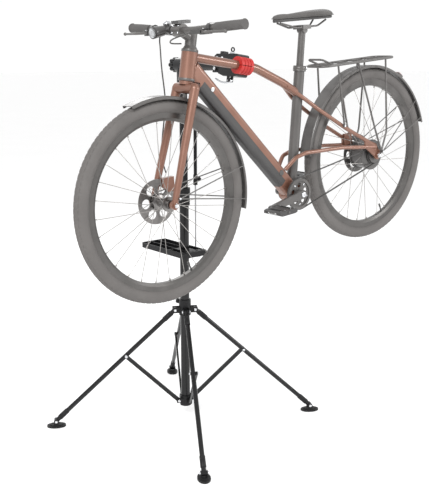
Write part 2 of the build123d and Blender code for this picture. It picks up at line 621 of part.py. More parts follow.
def battery_space(shrink):
    """The battery's place in the lower half of the down tube."""
    plane, run = down_tube_plane()
    depth = BATTERY_DEPTH - shrink
    low_edge = DOWN_TUBE_DEPTH / 2
    start, end = 52 + shrink, run - 62 - shrink
    body = Pos(0, -(low_edge - depth / 2) - 3, (start + end) / 2) * Box(90, depth + 6, end - start)
    return plane.location * body


def battery_cover():
    """Battery pack that closes the down tube's lower half."""
    return down_tube() & battery_space(SIDE_GAP)


def top_tube():
    """Straight where the stand grips it, then bowed down to the seat tube."""
    head = Vector(TOP_TUBE_HEAD[0], 0, TOP_TUBE_HEAD[1])
    clamp = Vector(CLAMP_POINT[0], 0, CLAMP_POINT[1])
    run = (clamp - head).normalized()
    bow = clamp + run * 62
    crossing = Vector(*seat_point(296))
    rear = Vector(466, 0, 346)
    path = FilletPolyline(tuple(head), tuple(bow), tuple(rear), tuple(crossing), radius=120)
    start = Plane(origin=path @ 0, z_dir=path % 0)
    tube = sweep(start * Circle(TOP_TUBE_R), path=path)
    tube -= rod(steer_point(300), steer_point(560), HEAD_TUBE_R)
    tube -= down_tube()
    return tube - rod(seat_point(100), seat_point(500), SEAT_TUBE_R)


def seat_tube():
    """Seat tube with the post's bore and its clamp collar."""
    tube = rod(seat_point(BB_POINT[1]), seat_point(SEAT_TUBE_TOP_Z), SEAT_TUBE_R)
    collar_z = SEAT_TUBE_TOP_Z - 20
    tube += rod(seat_point(collar_z), seat_point(SEAT_TUBE_TOP_Z), SEAT_TUBE_R + 4)
    x = seat_point(collar_z)[0]
    tube += block(x - SEAT_TUBE_R - 14, x - SEAT_TUBE_R, -8, 8, collar_z + 3, collar_z + 17)
    depth = SEAT_TUBE_TOP_Z - SEATPOST_INSERT - 90
    tube -= rod(seat_point(depth), seat_point(SEAT_TUBE_TOP_Z + 5), SEATPOST_R + SLIDE_FIT)
    tube -= across(BB_POINT[0], BB_POINT[1], BB_SHELL_R + 9, -60, 60)
    tube -= down_tube()
    return tube.solids().sort_by(SortBy.VOLUME)[-1]


SEAT_STAY = ((452, 9, 332), (392, 31, 284), (318, 42, 229), (180, 54, 138), (10, 63, 40))
CHAIN_STAY = ((492, 20, 20), (446, 37, 62), (395, 41, 72), (200, 51, 62), (8, 63, 36))


def rear_stays():
    """Seat stays, raised chain stays and dropouts, with the rear axle and brake caliper."""
    frame = None
    for side in (-1, 1):
        for stay, bend in ((SEAT_STAY, 60), (CHAIN_STAY, 40)):
            bar = bent_bar([(x, side * y, z) for x, y, z in stay], bend, STAY_R)
            frame = bar if frame is None else frame + bar
        y0, y1 = sorted((side * DROPOUT_Y, side * (DROPOUT_Y + DROPOUT_T)))
        plate = across(0, 0, 17, y0, y1)
        plate += slab([(-17, 0), (17, -4), (74, 42), (74, 80), (6, 50)], y0, y1)
        y0, y1 = sorted((side * DROPOUT_Y, side * (DROPOUT_Y + DROPOUT_T + 6)))
        plate += across(-12, 16, 6, y0, y1)
        frame += plate
    frame -= across(0, 0, AXLE_R, -90, 90)
    frame -= rod(seat_point(0), seat_point(500), SEAT_TUBE_R)
    frame -= down_tube()
    frame -= top_tube()
    caliper = block(34, 78, REAR_DISC_Y - 5, REAR_DISC_Y + 7, 44, 92)
    caliper -= block(20, 90, REAR_DISC_Y - 1.5, REAR_DISC_Y + DISC_T + 1.5, 30, 84)
    axle = across(0, 0, AXLE_R, -DROPOUT_Y - DROPOUT_T - 5, DROPOUT_Y + DROPOUT_T + 5)
    for y in (-DROPOUT_Y - DROPOUT_T - 8, DROPOUT_Y + DROPOUT_T):
        axle += across(0, 0, AXLE_R + 4, y, y + 8)
    frame -= caliper
    return Compound(children=[*frame.solids(), *caliper.solids(), *axle.solids()])


# ---- Bicycle: front end ----
FORK_BOSS = (WHEELBASE - 16, 22.0)  # where the fender's stays screw on
FORK_BOSS_Y = BLADE_END_Y + 10


def fork():
    """Steerer, crown and two blades, with the front axle and brake caliper."""
    crown = steer_point(CROWN_Z)
    body = rod(crown, steer_point(HEAD_TUBE_TOP_Z + 46), STEERER_R)
    body += rod(steer_point(CROWN_Z + 12), steer_point(HEAD_TUBE_BOTTOM_Z - SIDE_GAP), HEAD_TUBE_R - 3)
    body += across(crown[0], CROWN_Z, CROWN_R, -BLADE_TOP_Y, BLADE_TOP_Y)
    for side in (-1, 1):
        top = (crown[0], side * BLADE_TOP_Y, CROWN_Z)
        end = (WHEELBASE, side * BLADE_END_Y, 0)
        body += rod(top, end, BLADE_TOP_R, BLADE_END_R)
        y0, y1 = sorted((side * (BLADE_END_Y - 9), side * (BLADE_END_Y + 6)))
        body += Pos(*top) * Sphere(BLADE_TOP_R)
        body += across(WHEELBASE, 0, 15, y0, y1)
        body += across(*FORK_BOSS, 6, *sorted((side * BLADE_END_Y, side * FORK_BOSS_Y)))
    body -= across(WHEELBASE, 0, AXLE_R, -90, 90)
    axle = across(WHEELBASE, 0, AXLE_R, -BLADE_END_Y - 10, BLADE_END_Y + 10)
    for y in (-BLADE_END_Y - 13, BLADE_END_Y + 6):
        axle += across(WHEELBASE, 0, AXLE_R + 4, y, y + 7)
    x = WHEELBASE - 50
    caliper = block(x - 26, x + 26, FRONT_DISC_Y - 10, FRONT_DISC_Y + 9, 26, 78)
    caliper -= across(WHEELBASE, 0, DISC_R + 2, FRONT_DISC_Y - 2, FRONT_DISC_Y + DISC_T + 2)
    caliper -= across(WHEELBASE, 0, 54, -80, 80)
    caliper -= body
    solids = [*body.solids(), *axle.solids(), caliper.solids().sort_by(SortBy.VOLUME)[-1]]
    return Compound(children=solids)


def stem():
    """Headset cap, steerer clamp and extension to the bar's clamp."""
    cap = rod(steer_point(HEAD_TUBE_TOP_Z + SIDE_GAP), steer_point(HEAD_TUBE_TOP_Z + 12), HEAD_TUBE_R - 1, 20)
    z0, z1 = HEAD_TUBE_TOP_Z + 12, HEAD_TUBE_TOP_Z + 52
    body = cap + rod(steer_point(z0), steer_point(z1), 20)
    mid = steer_point((z0 + z1) / 2 + 2)
    body += rod(mid, (BAR_POINT[0], 0, BAR_POINT[1]), 15.5)
    body += across(BAR_POINT[0], BAR_POINT[1], BAR_CENTRE_R + 5, -23, 23)
    body -= across(BAR_POINT[0], BAR_POINT[1], BAR_CENTRE_R, -30, 30)
    return body - rod(steer_point(CROWN_Z), steer_point(HEAD_TUBE_TOP_Z + 46), STEERER_R)


BAR_BACK = 22.0  # backsweep and rise at the bar's ends
BAR_RISE = 12.0


def bar_point(y):
    """The bar's axis at a distance from the middle."""
    x, z = BAR_POINT
    share = max(abs(y) - 60, 0) / (BAR_HALF - 60)
    return (x - share * BAR_BACK, y, z + share * BAR_RISE)


def handlebar():
    ends = [bar_point(y) for y in (BAR_HALF, 60, -60, -BAR_HALF)]
    bar = bent_bar(ends, 90, BAR_R)
    return bar + across(BAR_POINT[0], BAR_POINT[1], BAR_CENTRE_R, -23, 23)


def grips():
    solids = []
    for side in (-1, 1):
        inner, end = bar_point(side * (BAR_HALF - GRIP_LENGTH)), bar_point(side * BAR_HALF)
        grip = rod(inner, end, GRIP_R, bore=BAR_R)
        cap = Vector(*end) + (Vector(*end) - Vector(*inner)).normalized() * 4
        solids += (grip + rod(end, tuple(cap), GRIP_R + 1)).solids()
    return Compound(children=solids)


LEVER_Y = 158.0  # brake lever's pivot, from the bar's middle
LEVER_X = 34.0  # and ahead of the bar
LEVER_DROP = 10.0
LEVER_REACH = 118.0


def brake_lever(side):
    """Blade that curves along the grip from an upright pivot."""
    x, _, z = bar_point(side * LEVER_Y)
    x, z = x + LEVER_X, z - LEVER_DROP
    blade = rod((x, side * LEVER_Y, z - 4), (x, side * LEVER_Y, z + 4), 7)
    points = [(x, side * LEVER_Y, z), (x + 16, side * (LEVER_Y + 32), z), (x + 8, side * (LEVER_Y + LEVER_REACH), z)]
    blade += bent_bar(points, 60, 4.2)
    blade += Pos(*points[-1]) * Sphere(6)
    return blade - rod((x, side * LEVER_Y, z - 20), (x, side * LEVER_Y, z + 20), PIN_R + RUN_FIT)


def bar_controls():
    """Lever bodies, headlight, display and bell on the handlebar."""
    solids = []
    bar = handlebar()
    for side in (-1, 1):
        x, _, z = bar_point(side * LEVER_Y)
        px, pz = x + LEVER_X, z - LEVER_DROP
        y0, y1 = sorted((side * (LEVER_Y - 14), side * (LEVER_Y + 4)))
        ring_solid = rod(bar_point(side * (LEVER_Y - 9)), bar_point(side * (LEVER_Y + 5)), BAR_R + 6)
        body = ring_solid + block(x, px + 6, y0, y1, pz - 9, pz + 9)
        body -= block(px - 13, px + 20, *sorted((side * (LEVER_Y - 10), side * (LEVER_Y + 20))), pz - 4.5, pz + 4.5)
        body += rod((px, side * LEVER_Y, pz - 9), (px, side * LEVER_Y, pz + 9), PIN_R)
        body += block(x + 2, px + 4, *sorted((side * (LEVER_Y - 62), side * (LEVER_Y - 13))), pz - 7, pz + 7)
        solids += (body - bar).solids()
    x, z = BAR_POINT
    lamp_y = -48.0
    lamp = rod((x + 34, lamp_y, z + 2), (x + 74, lamp_y, z - 2), 17, 20)
    bracket = rod((x, lamp_y, z), (x + 40, lamp_y, z + 2), 7) + across(x, z, BAR_R + 5, lamp_y - 8, lamp_y + 8)
    solids += (lamp + bracket - bar).solids()
    solids += rod((x + 74, lamp_y, z - 2), (x + 77, lamp_y, z - 2.3), 17).solids()
    top = z + BAR_CENTRE_R + 5 + SIDE_GAP
    solids += block(x - 36, x + 18, -19, 19, top, top + 11).solids()
    bell_y = -70.0
    bell = across(x - 2, z + 1, BAR_R + 5, bell_y - 7, bell_y + 7)
    bell += Pos(x - 2, bell_y, z + 16) * Cylinder(13, 14)
    solids += (bell - bar).solids()
    return Compound(children=solids)


def hose_points(side):
    """The hand-set route of one brake hose, on the side of its lever."""
    x, z = BAR_POINT
    if side > 0:
        return [
            (x + 14, 95.8, z - 6), (x + 14, 87, z - 6), (x + 42, 52, z - 17), (x + 46, 8, z - 28), (x + 30, -20, z - 40),
            (x + 2, -26, z - 44), (x - 18, -18, z - 45),
        ]
    return [
        (x + 14, -95.8, z - 6), (x + 14, -87, z - 6), (x + 44, -58, z - 24), (x + 55, -42, z - 58), (x + 52, -48, z - 100),
        (x + 43, -59, z - 144), (x + 32, -70, z - 190), (x + 26, -77, z - 238), (x + 34, -79, z - 290),
        (x + 48, -79, z - 345), (x + 60, -77, z - 400), (x + 66, -70, z - 450), (x + 60, -62, z - 484),
    ]


def arc_radii(points):
    """Each corner's radius: 0.45 of its shorter run over the tangent of half its turn."""
    radii = []
    for before, corner, after in zip(points, points[1:], points[2:]):
        run_in, run_out = Vector(*corner) - Vector(*before), Vector(*after) - Vector(*corner)
        turn = math.radians(run_in.get_angle(run_out))
        radii.append(0.45 * min(run_in.length, run_out.length) / math.tan(turn / 2))
    return radii


def brake_hoses():
    """Two hoses on the steering: one into the headset's cap, one down to the front caliper."""
    solids = []
    for side in (1, -1):
        points = hose_points(side)
        radii = arc_radii(points)
        print("hose radii", [round(radius) for radius in radii])
        solids += bent_bar(points, radii, HOSE_R).solids()
    return Compound(children=solids)


# ---- Bicycle: wheels, each about its own axle ----
def tyre():
    middle = TYRE_OUTER_R - TYRE_HALF
    section = Pos(middle, 0) * Circle(TYRE_HALF)
    section -= Pos(RIM_OUTER_R - 25, 0) * Rectangle(50, 4 * TYRE_HALF)
    return revolve(section, Axis.Y, 360)


def rim():
    outer = [(RIM_INNER_R, -8), (RIM_INNER_R, 8), (RIM_INNER_R + 10, RIM_HALF), (RIM_OUTER_R, RIM_HALF)]
    outer += [(RIM_OUTER_R, -RIM_HALF), (RIM_INNER_R + 10, -RIM_HALF)]
    well = [(RIM_INNER_R + 7, -5), (RIM_INNER_R + 7, 5), (RIM_OUTER_R, RIM_HALF - 3), (RIM_OUTER_R, 3 - RIM_HALF)]
    return ring(outer) - ring(well)


def spokes(flange_r, flange_y):
    """Crossed spokes from both flanges to the rim."""
    solids = []
    half = SPOKE_COUNT // 2
    for side in (-1, 1):
        for n in range(half):
            lead = 1 if n % 2 else -1
            hub_turn = math.radians(360 / half * n + (0 if side > 0 else 180 / half))
            rim_turn = hub_turn + math.radians(lead * 360 / half)
            hub_y = side * (flange_y + 3 + lead * 2.2)
            root = flange_r + 0.8 * SPOKE_R
            start = (root * math.cos(hub_turn), hub_y, root * math.sin(hub_turn))
            reach = RIM_INNER_R - 0.2
            end = (reach * math.cos(rim_turn), side * (3 + lead * 1.5), reach * math.sin(rim_turn))
            solids += rod(start, end, SPOKE_R).solids()
    return Compound(children=solids)


def brake_disc(y, carrier_y):
    """Rotor with round windows, and the carrier that joins it to the hub."""
    disc = across(0, 0, DISC_R, y, y + DISC_T)
    for n in range(DISC_HOLES):
        turn = math.radians(360 / DISC_HOLES * n)
        x, z = DISC_HOLE_PCR * math.cos(turn), DISC_HOLE_PCR * math.sin(turn)
        disc -= across(x, z, DISC_HOLE_R, y - 1, y + DISC_T + 1)
    carrier = across(0, 0, 22, y + DISC_T, carrier_y)
    return (disc + carrier) - across(0, 0, AXLE_R + RUN_FIT, y - 1, carrier_y + 1)


def front_hub():
    y = FRONT_FLANGE_Y
    profile = [
        (AXLE_R + RUN_FIT, -y - 5), (FRONT_FLANGE_R, -y - 5), (FRONT_FLANGE_R, -y + 1), (15, -y + 5),
        (15, y - 5), (FRONT_FLANGE_R, y - 1), (FRONT_FLANGE_R, y + 5), (16, y + 6), (16, y + 20), (AXLE_R + RUN_FIT, y + 20),
    ]
    disc = brake_disc(FRONT_DISC_Y, -y - 5)
    return Compound(children=[*ring(profile).solids(), *disc.solids()])


def rear_motor():
    """Hub motor with spoke flanges, belt sprocket and brake disc."""
    y, bore = MOTOR_HALF, AXLE_R + RUN_FIT
    profile = [
        (bore, -y), (30, -y), (MOTOR_R - 6, -y + 8), (MOTOR_R, -MOTOR_FLANGE_Y - 6),
        (MOTOR_FLANGE_R, -MOTOR_FLANGE_Y - 6), (MOTOR_FLANGE_R, -MOTOR_FLANGE_Y), (MOTOR_R, -MOTOR_FLANGE_Y),
        (MOTOR_R, MOTOR_FLANGE_Y), (MOTOR_FLANGE_R, MOTOR_FLANGE_Y), (MOTOR_FLANGE_R, MOTOR_FLANGE_Y + 6),
        (MOTOR_R, MOTOR_FLANGE_Y + 6), (MOTOR_R - 6, y - 4), (30, y - 2), (bore, y - 2),
    ]
    half = BELT_WIDTH / 2
    sprocket = across(0, 0, SPROCKET_R, BELT_Y - half, BELT_Y + half) + across(0, 0, 22, y - 2, BELT_Y - half)
    sprocket += across(0, 0, SPROCKET_R + 4, BELT_Y - half - 1.5, BELT_Y - half)
    sprocket -= across(0, 0, bore, 0, 90)
    disc = brake_disc(REAR_DISC_Y, -y)
    return Compound(children=[*ring(profile).solids(), *sprocket.solids(), *disc.solids()])


# ---- Bicycle: fenders, rack, drive and saddle ----
DROPOUT_BOSS = (-12.0, 16.0)  # where the rack's legs and the fender's stays screw on
DROPOUT_BOSS_Y = DROPOUT_Y + DROPOUT_T + 6
EYE_T = 5.0
RACK_EYE_T = 8.0


def fender_arc(start, end):
    """Shell with turned-down edges over a wheel, between two angles up from straight ahead."""
    r, half, edge = FENDER_R, FENDER_HALF, 7.0
    outer = [
        (r - edge, -half), (r, -half), (r + FENDER_T, -half + 3), (r + FENDER_T, half - 3), (r, half), (r - edge, half),
        (r - edge, half - FENDER_T), (r, half - FENDER_T - 1), (r, -half + FENDER_T + 1), (r - edge, -half + FENDER_T),
    ]
    edge_line = Polyline(*[(radius, y, 0) for radius, y in outer], close=True)
    return Rot(0, -end, 0) * revolve(make_face(edge_line), Axis.Y, end - start)


def fender_stay(boss, boss_y, wheel_x, angle, side):
    """A thin stay from a boss beside the axle to the fender's edge."""
    y0, y1 = sorted((side * boss_y, side * (boss_y + EYE_T)))
    eye = across(*boss, 5, y0, y1)
    turn = math.radians(angle)
    reach = FENDER_R - 4
    tip = (wheel_x + reach * math.cos(turn), side * (FENDER_HALF + 1.5), reach * math.sin(turn))
    start = Vector(boss[0], side * (boss_y + EYE_T - 1), boss[1])
    return eye + rod(tuple(start), tip, 2.2)


def front_fender():
    shell = Pos(WHEELBASE, 0, 0) * fender_arc(72, 194)
    crown = Vector(*steer_point(CROWN_Z))
    hub = Vector(WHEELBASE, 0, 0)
    up = (crown - hub).normalized()
    shell += rod(tuple(hub + up * (FENDER_R + 1)), tuple(crown - up * (CROWN_R + 0.1)), 6)
    for side in (-1, 1):
        for angle in (168, 188):
            shell += fender_stay(FORK_BOSS, FORK_BOSS_Y + SIDE_GAP, WHEELBASE, angle, side)
    return shell


def rear_fender():
    """Rear shell, its stays, the tab that hangs it from the rack and the tail light."""
    shell = fender_arc(8, 166)
    x = 40.0
    shell += rod((x, 0, math.sqrt((FENDER_R + 1) ** 2 - x**2)), (x, 0, RACK_Z - 4.1), 4)
    for side in (-1, 1):
        for angle in (148, 162):
            boss_y = DROPOUT_BOSS_Y + RACK_EYE_T + 2 * SIDE_GAP
            shell += fender_stay(DROPOUT_BOSS, boss_y, 0, angle, side)
    light = Rot(0, -126, 0) * block(FENDER_R + FENDER_T, FENDER_R + FENDER_T + 14, -14, 14, -16, 16)
    return Compound(children=[*shell.solids(), *light.solids()])


def rack():
    """Platform loop with cross bars, a raised front hoop and three legs on each side."""
    length = RACK_FRONT_X - RACK_REAR_X
    middle = Pos((RACK_FRONT_X + RACK_REAR_X) / 2, 0, RACK_Z)
    path = (middle * RectangleRounded(length, 2 * RACK_HALF, 32)).face().outer_wire()
    frame = sweep(Plane(origin=path @ 0, z_dir=path % 0) * Circle(RACK_TUBE_R), path=path)
    for x in (40.0, 130.0, -50.0):
        frame += across(x, RACK_Z, 4, -RACK_HALF, RACK_HALF)
    hoop = [(222, -38, RACK_Z), (286, -38, RACK_Z + 26), (286, 38, RACK_Z + 26), (222, 38, RACK_Z)]
    frame += bent_bar(hoop, 14, 4)
    frame += across(222, RACK_Z, 4, -RACK_HALF, RACK_HALF)
    for side in (-1, 1):
        inner = DROPOUT_BOSS_Y + SIDE_GAP
        boss = (DROPOUT_BOSS[0], side * (inner + RACK_EYE_T / 2), DROPOUT_BOSS[1])
        y0, y1 = sorted((side * inner, side * (inner + RACK_EYE_T)))
        frame += across(*DROPOUT_BOSS, 7, y0, y1)
        out = side * (RACK_HALF + 20)
        frame += bent_bar([(-72, side * RACK_HALF, RACK_Z), (-48, out, 96), boss], 60, 3.8)
        frame += bent_bar([(96, side * RACK_HALF, RACK_Z), (26, out, 118), boss], 60, 3.8)
        eye_y = sorted((side * 61, side * 69))
        frame += across(198, 150, 6, *eye_y) + rod((214, side * RACK_HALF, RACK_Z), (198, side * 65, 150), 3.8)
    return frame


def belt_loop(extra, y0, y1):
    """The plate that a belt wraps, its outline grown by extra round both pulleys."""
    front = Vector(BB_POINT[0], 0, BB_POINT[1])
    big, small = CHAINRING_R + extra, SPROCKET_R + extra
    back = front * -1
    spread = math.degrees(math.acos((big - small) / back.length))
    towards = back.normalized()
    corners = []
    for sign in (-1, 1):
        normal = towards.rotate(Axis.Y, sign * spread)
        corners.append((front + normal * big, normal * small))
    outline = [corners[0][0], corners[0][1], corners[1][1], corners[1][0]]
    loop = slab([(point.X, point.Z) for point in outline], y0, y1)
    return loop + across(*BB_POINT, big, y0, y1) + across(0, 0, small, y0, y1)


def drive_belt():
    y0, y1 = BELT_Y - BELT_WIDTH / 2 + 0.2, BELT_Y + BELT_WIDTH / 2
    return belt_loop(BELT_T, y0, y1) - belt_loop(SIDE_GAP, y0, y1)


def crank_arm(angle, y0, y1):
    """Tapered arm from the axle to its pedal, with the pedal's spindle."""
    arm = across(0, 0, 17, y0, y1) + across(CRANK_LENGTH, 0, 12, y0, y1)
    arm += slab([(0, 16), (CRANK_LENGTH, 11), (CRANK_LENGTH, -11), (0, -16)], y0, y1)
    outward = 1 if y0 > 0 else -1
    tip = outward * (CRANK_Y + CRANK_T + PEDAL_LENGTH)
    arm += across(CRANK_LENGTH, 0, 5, *sorted((outward * (CRANK_Y + 1), tip)))
    return Pos(BB_POINT[0], 0, BB_POINT[1]) * Rot(0, -angle, 0) * arm


def crankset():
    """Axle, both crank arms and the belt's front ring."""
    body = crank_arm(CRANK_ANGLE, CRANK_Y, CRANK_Y + CRANK_T)
    body += crank_arm(CRANK_ANGLE + 180, -CRANK_Y - CRANK_T, -CRANK_Y)
    x, z = BB_POINT
    body += across(x, z, BB_AXLE_R, -CRANK_Y - 2, CRANK_Y + 2)
    ring_y = BELT_Y - BELT_WIDTH / 2
    chainring = across(x, z, CHAINRING_R, ring_y, ring_y + BELT_WIDTH) - across(x, z, 50, ring_y + 4, ring_y + BELT_WIDTH)
    for n in range(5):
        turn = math.radians(72 * n + 20)
        chainring -= across(x + 34 * math.cos(turn), z + 34 * math.sin(turn), 9.5, ring_y - 1, ring_y + 9)
    return body + chainring + across(x, z, 20, BB_SHELL_HALF + SIDE_GAP, CRANK_Y)


def pedal(side):
    """Platform pedal on its spindle."""
    turn = CRANK_ANGLE if side > 0 else CRANK_ANGLE + 180
    x = BB_POINT[0] + CRANK_LENGTH * math.cos(math.radians(turn))
    z = BB_POINT[1] + CRANK_LENGTH * math.sin(math.radians(turn))
    inner = CRANK_Y + CRANK_T + 1
    y0, y1 = sorted((side * inner, side * (inner + PEDAL_LENGTH - 4)))
    half = PEDAL_WIDTH / 2
    outline = [(-half, -5), (-half, 5), (-half + 10, 9), (half - 10, 9), (half, 5), (half, -5), (half - 10, -9), (10 - half, -9)]
    body = Pos(x, 0, z) * slab(outline, y0, y1)
    for dx in (-26, 26):
        body -= block(x + dx - 9, x + dx + 9, y0 + 12, y1 - 12, z - 10, z + 10)
    return body - across(x, z, 5 + RUN_FIT, y0 - 1, y1 + 1)


RAIL_Z = 543.0
RAIL_R = 3.5
SADDLE_BASE_Z = 568.0
SADDLE_TOP_Z = 604.0


def rail_points(side, x):
    return [
        (x - 96, side * 34, SADDLE_BASE_Z - 4), (x - 62, side * 21, RAIL_Z),
        (x + 52, side * 21, RAIL_Z), (x + 122, side * 8, SADDLE_BASE_Z - 4),
    ]


def seatpost():
    """Post, its head clamp and the saddle's two rails."""
    low, high = seat_point(SEAT_TUBE_TOP_Z - SEATPOST_INSERT), seat_point(RAIL_Z - 10)
    x = high[0]
    head = rod(low, high, SEATPOST_R) + across(x, RAIL_Z - 11, 12, -17, 17)
    head += block(x - 21, x + 21, -27, 27, RAIL_Z - 8, RAIL_Z + 7)
    solids = []
    for side in (-1, 1):
        bar = bent_bar(rail_points(side, x), 22, RAIL_R)
        head -= bar
        solids += bar.solids()
    return Compound(children=[*head.solids(), *solids])


def saddle():
    """Padded seat: broad at the back, narrow at the nose."""
    x = seat_point(SADDLE_CLAMP_Z)[0]
    half = [(-126, 0), (-122, 42), (-98, 72), (-52, 68), (8, 40), (76, 24), (138, 17), (154, 0)]
    mirrored = [(dx, -y) for dx, y in reversed(half[1:-1])]
    sections = []
    for z, scale in ((SADDLE_BASE_Z, 0.9), (SADDLE_BASE_Z + 14, 1.0), (SADDLE_TOP_Z, 0.8)):
        points = [(x + dx * scale, y * scale, z) for dx, y in half + mirrored]
        sections.append(make_face(Spline(*points, periodic=True)))
    return loft(sections)


# ---- Assembly ----
def stand_parts():
    parts = {
        "mast_lower_tube": mast_lower_tube(),
        "mast_collar": mast_collar(),
        "collar_lever": collar_lever(),
        "mast_upper_tube": mast_upper_tube(),
        "lower_hub": lower_hub(),
        "leg_hub": leg_hub(),
        "hub_knob": hub_knob(),
        "tool_tray": tool_tray(),
        "mast_head": mast_head(),
        "head_knob": head_knob(),
        "clamp_arm": clamp_arm(),
        "holder_tube": holder_tube(),
        "holder_rod": holder_rod(),
    }
    one_leg, one_strut, one_foot = leg(), strut(), foot()
    for number, angle in enumerate(LEG_ANGLES, start=1):
        parts[f"leg_{number}"] = Rot(0, 0, angle) * one_leg
        parts[f"strut_{number}"] = Rot(0, 0, angle) * one_strut
        parts[f"foot_{number}"] = Rot(0, 0, angle) * one_foot
    return parts


def clamp_parts():
    return {
        "clamp_body": clamp_body(),
        "lower_jaw": lower_jaw(),
        "jaw_lever": jaw_lever(),
        "upper_pad": jaw_pad(upper=True),
        "lower_pad": jaw_pad(upper=False),
    }


def bike_parts():
    front = Pos(WHEELBASE, 0, 0)
    return {
        "front_frame": head_and_down_tube(),
        "battery_cover": battery_cover(),
        "top_tube": top_tube(),
        "seat_tube": seat_tube(),
        "rear_stays": rear_stays(),
        "fork": fork(),
        "stem": stem(),
        "handlebar": handlebar(),
        "grips": grips(),
        "brake_lever_drive_side": brake_lever(1),
        "brake_lever_disc_side": brake_lever(-1),
        "bar_controls": bar_controls(),
        "brake_hoses": brake_hoses(),
        "front_fender": front_fender(),
        "front_tyre": front * tyre(),
        "front_rim": front * rim(),
        "front_spokes": front * spokes(FRONT_FLANGE_R, FRONT_FLANGE_Y),
        "front_hub": front * front_hub(),
        "rear_tyre": tyre(),
        "rear_rim": rim(),
        "rear_spokes": spokes(MOTOR_FLANGE_R, MOTOR_FLANGE_Y),
        "rear_motor": rear_motor(),
        "rear_fender": rear_fender(),
        "rack": rack(),
        "drive_belt": drive_belt(),
        "crankset": crankset(),
        "pedal_drive_side": pedal(1),
        "pedal_disc_side": pedal(-1),
        "seatpost": seatpost(),
        "saddle": saddle(),
    }


def assembly():
    """Every node in the stand's frame, the mast's axis on Z."""
    parts = stand_parts()
    parts.update({name: CLAMP * shape for name, shape in clamp_parts().items()})
    parts.update({name: BIKE * shape for name, shape in bike_parts().items()})
    return parts


def footprint_centre(parts):
    """The middle of everything seen from above, to the millimetre."""
    boxes = [shape.bounding_box() for shape in parts.values()]
    x = (min(box.min.X for box in boxes) + max(box.max.X for box in boxes)) / 2
    y = (min(box.min.Y for box in boxes) + max(box.max.Y for box in boxes)) / 2
    return round(x), round(y)


def main():
    os.makedirs("parts", exist_ok=True)
    parts = assembly()
    x, y = footprint_centre(parts)
    print("mast axis at", -x, -y, "nodes", len(parts))
    for name, shape in parts.items():
        solids = (Pos(-x, -y, 0) * shape).solids()
        export_step(Compound(children=list(solids)) if len(solids) > 1 else solids[0], f"parts/{name}.step")


if __name__ == "__main__":
    main()
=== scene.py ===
"""Looks for a bicycle held clear of the floor by a folding repair stand.

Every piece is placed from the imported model's own joints and boxes, in metres, and rides on one of its bodies.
Sizes inside the classes are millimetres in a sub-assembly's own axes.
"""

from __future__ import annotations

import json
import logging
import math
from dataclasses import dataclass, field
from enum import Enum
from typing import Iterable, Sequence

import bmesh
import bpy
import numpy as np
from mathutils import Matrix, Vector

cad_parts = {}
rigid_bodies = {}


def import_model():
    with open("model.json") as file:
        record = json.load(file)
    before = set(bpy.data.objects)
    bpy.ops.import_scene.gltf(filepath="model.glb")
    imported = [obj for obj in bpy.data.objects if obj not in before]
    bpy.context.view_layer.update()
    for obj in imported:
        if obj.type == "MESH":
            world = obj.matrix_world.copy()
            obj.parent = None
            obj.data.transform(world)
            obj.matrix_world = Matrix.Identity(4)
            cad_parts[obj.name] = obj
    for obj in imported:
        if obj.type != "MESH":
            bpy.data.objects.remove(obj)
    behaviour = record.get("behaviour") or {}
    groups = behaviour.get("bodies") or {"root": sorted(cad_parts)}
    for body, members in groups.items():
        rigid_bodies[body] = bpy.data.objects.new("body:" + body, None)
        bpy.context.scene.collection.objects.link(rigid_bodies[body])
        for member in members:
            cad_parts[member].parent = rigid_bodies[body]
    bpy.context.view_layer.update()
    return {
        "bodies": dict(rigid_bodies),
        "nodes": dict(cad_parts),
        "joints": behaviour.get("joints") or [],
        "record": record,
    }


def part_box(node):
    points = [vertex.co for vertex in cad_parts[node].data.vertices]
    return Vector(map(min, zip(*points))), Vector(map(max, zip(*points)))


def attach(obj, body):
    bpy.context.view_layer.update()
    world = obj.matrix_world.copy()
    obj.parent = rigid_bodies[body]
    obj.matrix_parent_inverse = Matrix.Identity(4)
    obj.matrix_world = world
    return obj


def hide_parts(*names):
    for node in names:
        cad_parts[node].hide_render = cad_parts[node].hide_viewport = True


LOG = logging.getLogger("looks")
MM = 0.001
WHEELBASE = 1062.0
STEER_ANGLE = math.radians(76.5)
SEAT_ANGLE = math.radians(81.0)
FORK_OFFSET = 42.0
CRANK_AHEAD, CRANK_UP = 447.0, -80.0
Colour = tuple[float, float, float]
Point = tuple[float, float, float]


# ---- Places ----
@dataclass(frozen=True)
class Axes:
    """A sub-assembly's own axes: an origin in metres and three unit directions as rows."""

    origin: np.ndarray
    basis: np.ndarray

    def put(self, points: Sequence | np.ndarray) -> np.ndarray:
        """Returns points given in millimetres on these axes as metres in the model's frame."""
        return self.origin + (np.asarray(points, float) * MM) @ self.basis

    def aimed(self, start: Sequence, direction: Sequence) -> Axes:
        """Gives axes whose third direction runs along a line.

        Args:
            start: The line's start on these axes, in millimetres.
            direction: The line's direction on these axes.

        Returns:
            Axes with their origin at start and their third row along direction.
        """
        along = np.asarray(direction, float) @ self.basis
        along /= np.linalg.norm(along)
        helper = self.basis[0] if abs(along @ self.basis[0]) < 0.8 else self.basis[1]
        side = np.cross(helper, along)
        side /= np.linalg.norm(side)
        return Axes(self.put(start), np.array([side, np.cross(along, side), along]))

    def turned(self, degrees: float) -> Axes:
        """Returns these axes turned about their own third direction."""
        c, s = math.cos(math.radians(degrees)), math.sin(math.radians(degrees))
        turn = np.array([[c, s, 0], [-s, c, 0], [0, 0, 1]])
        return Axes(self.origin, turn @ self.basis)


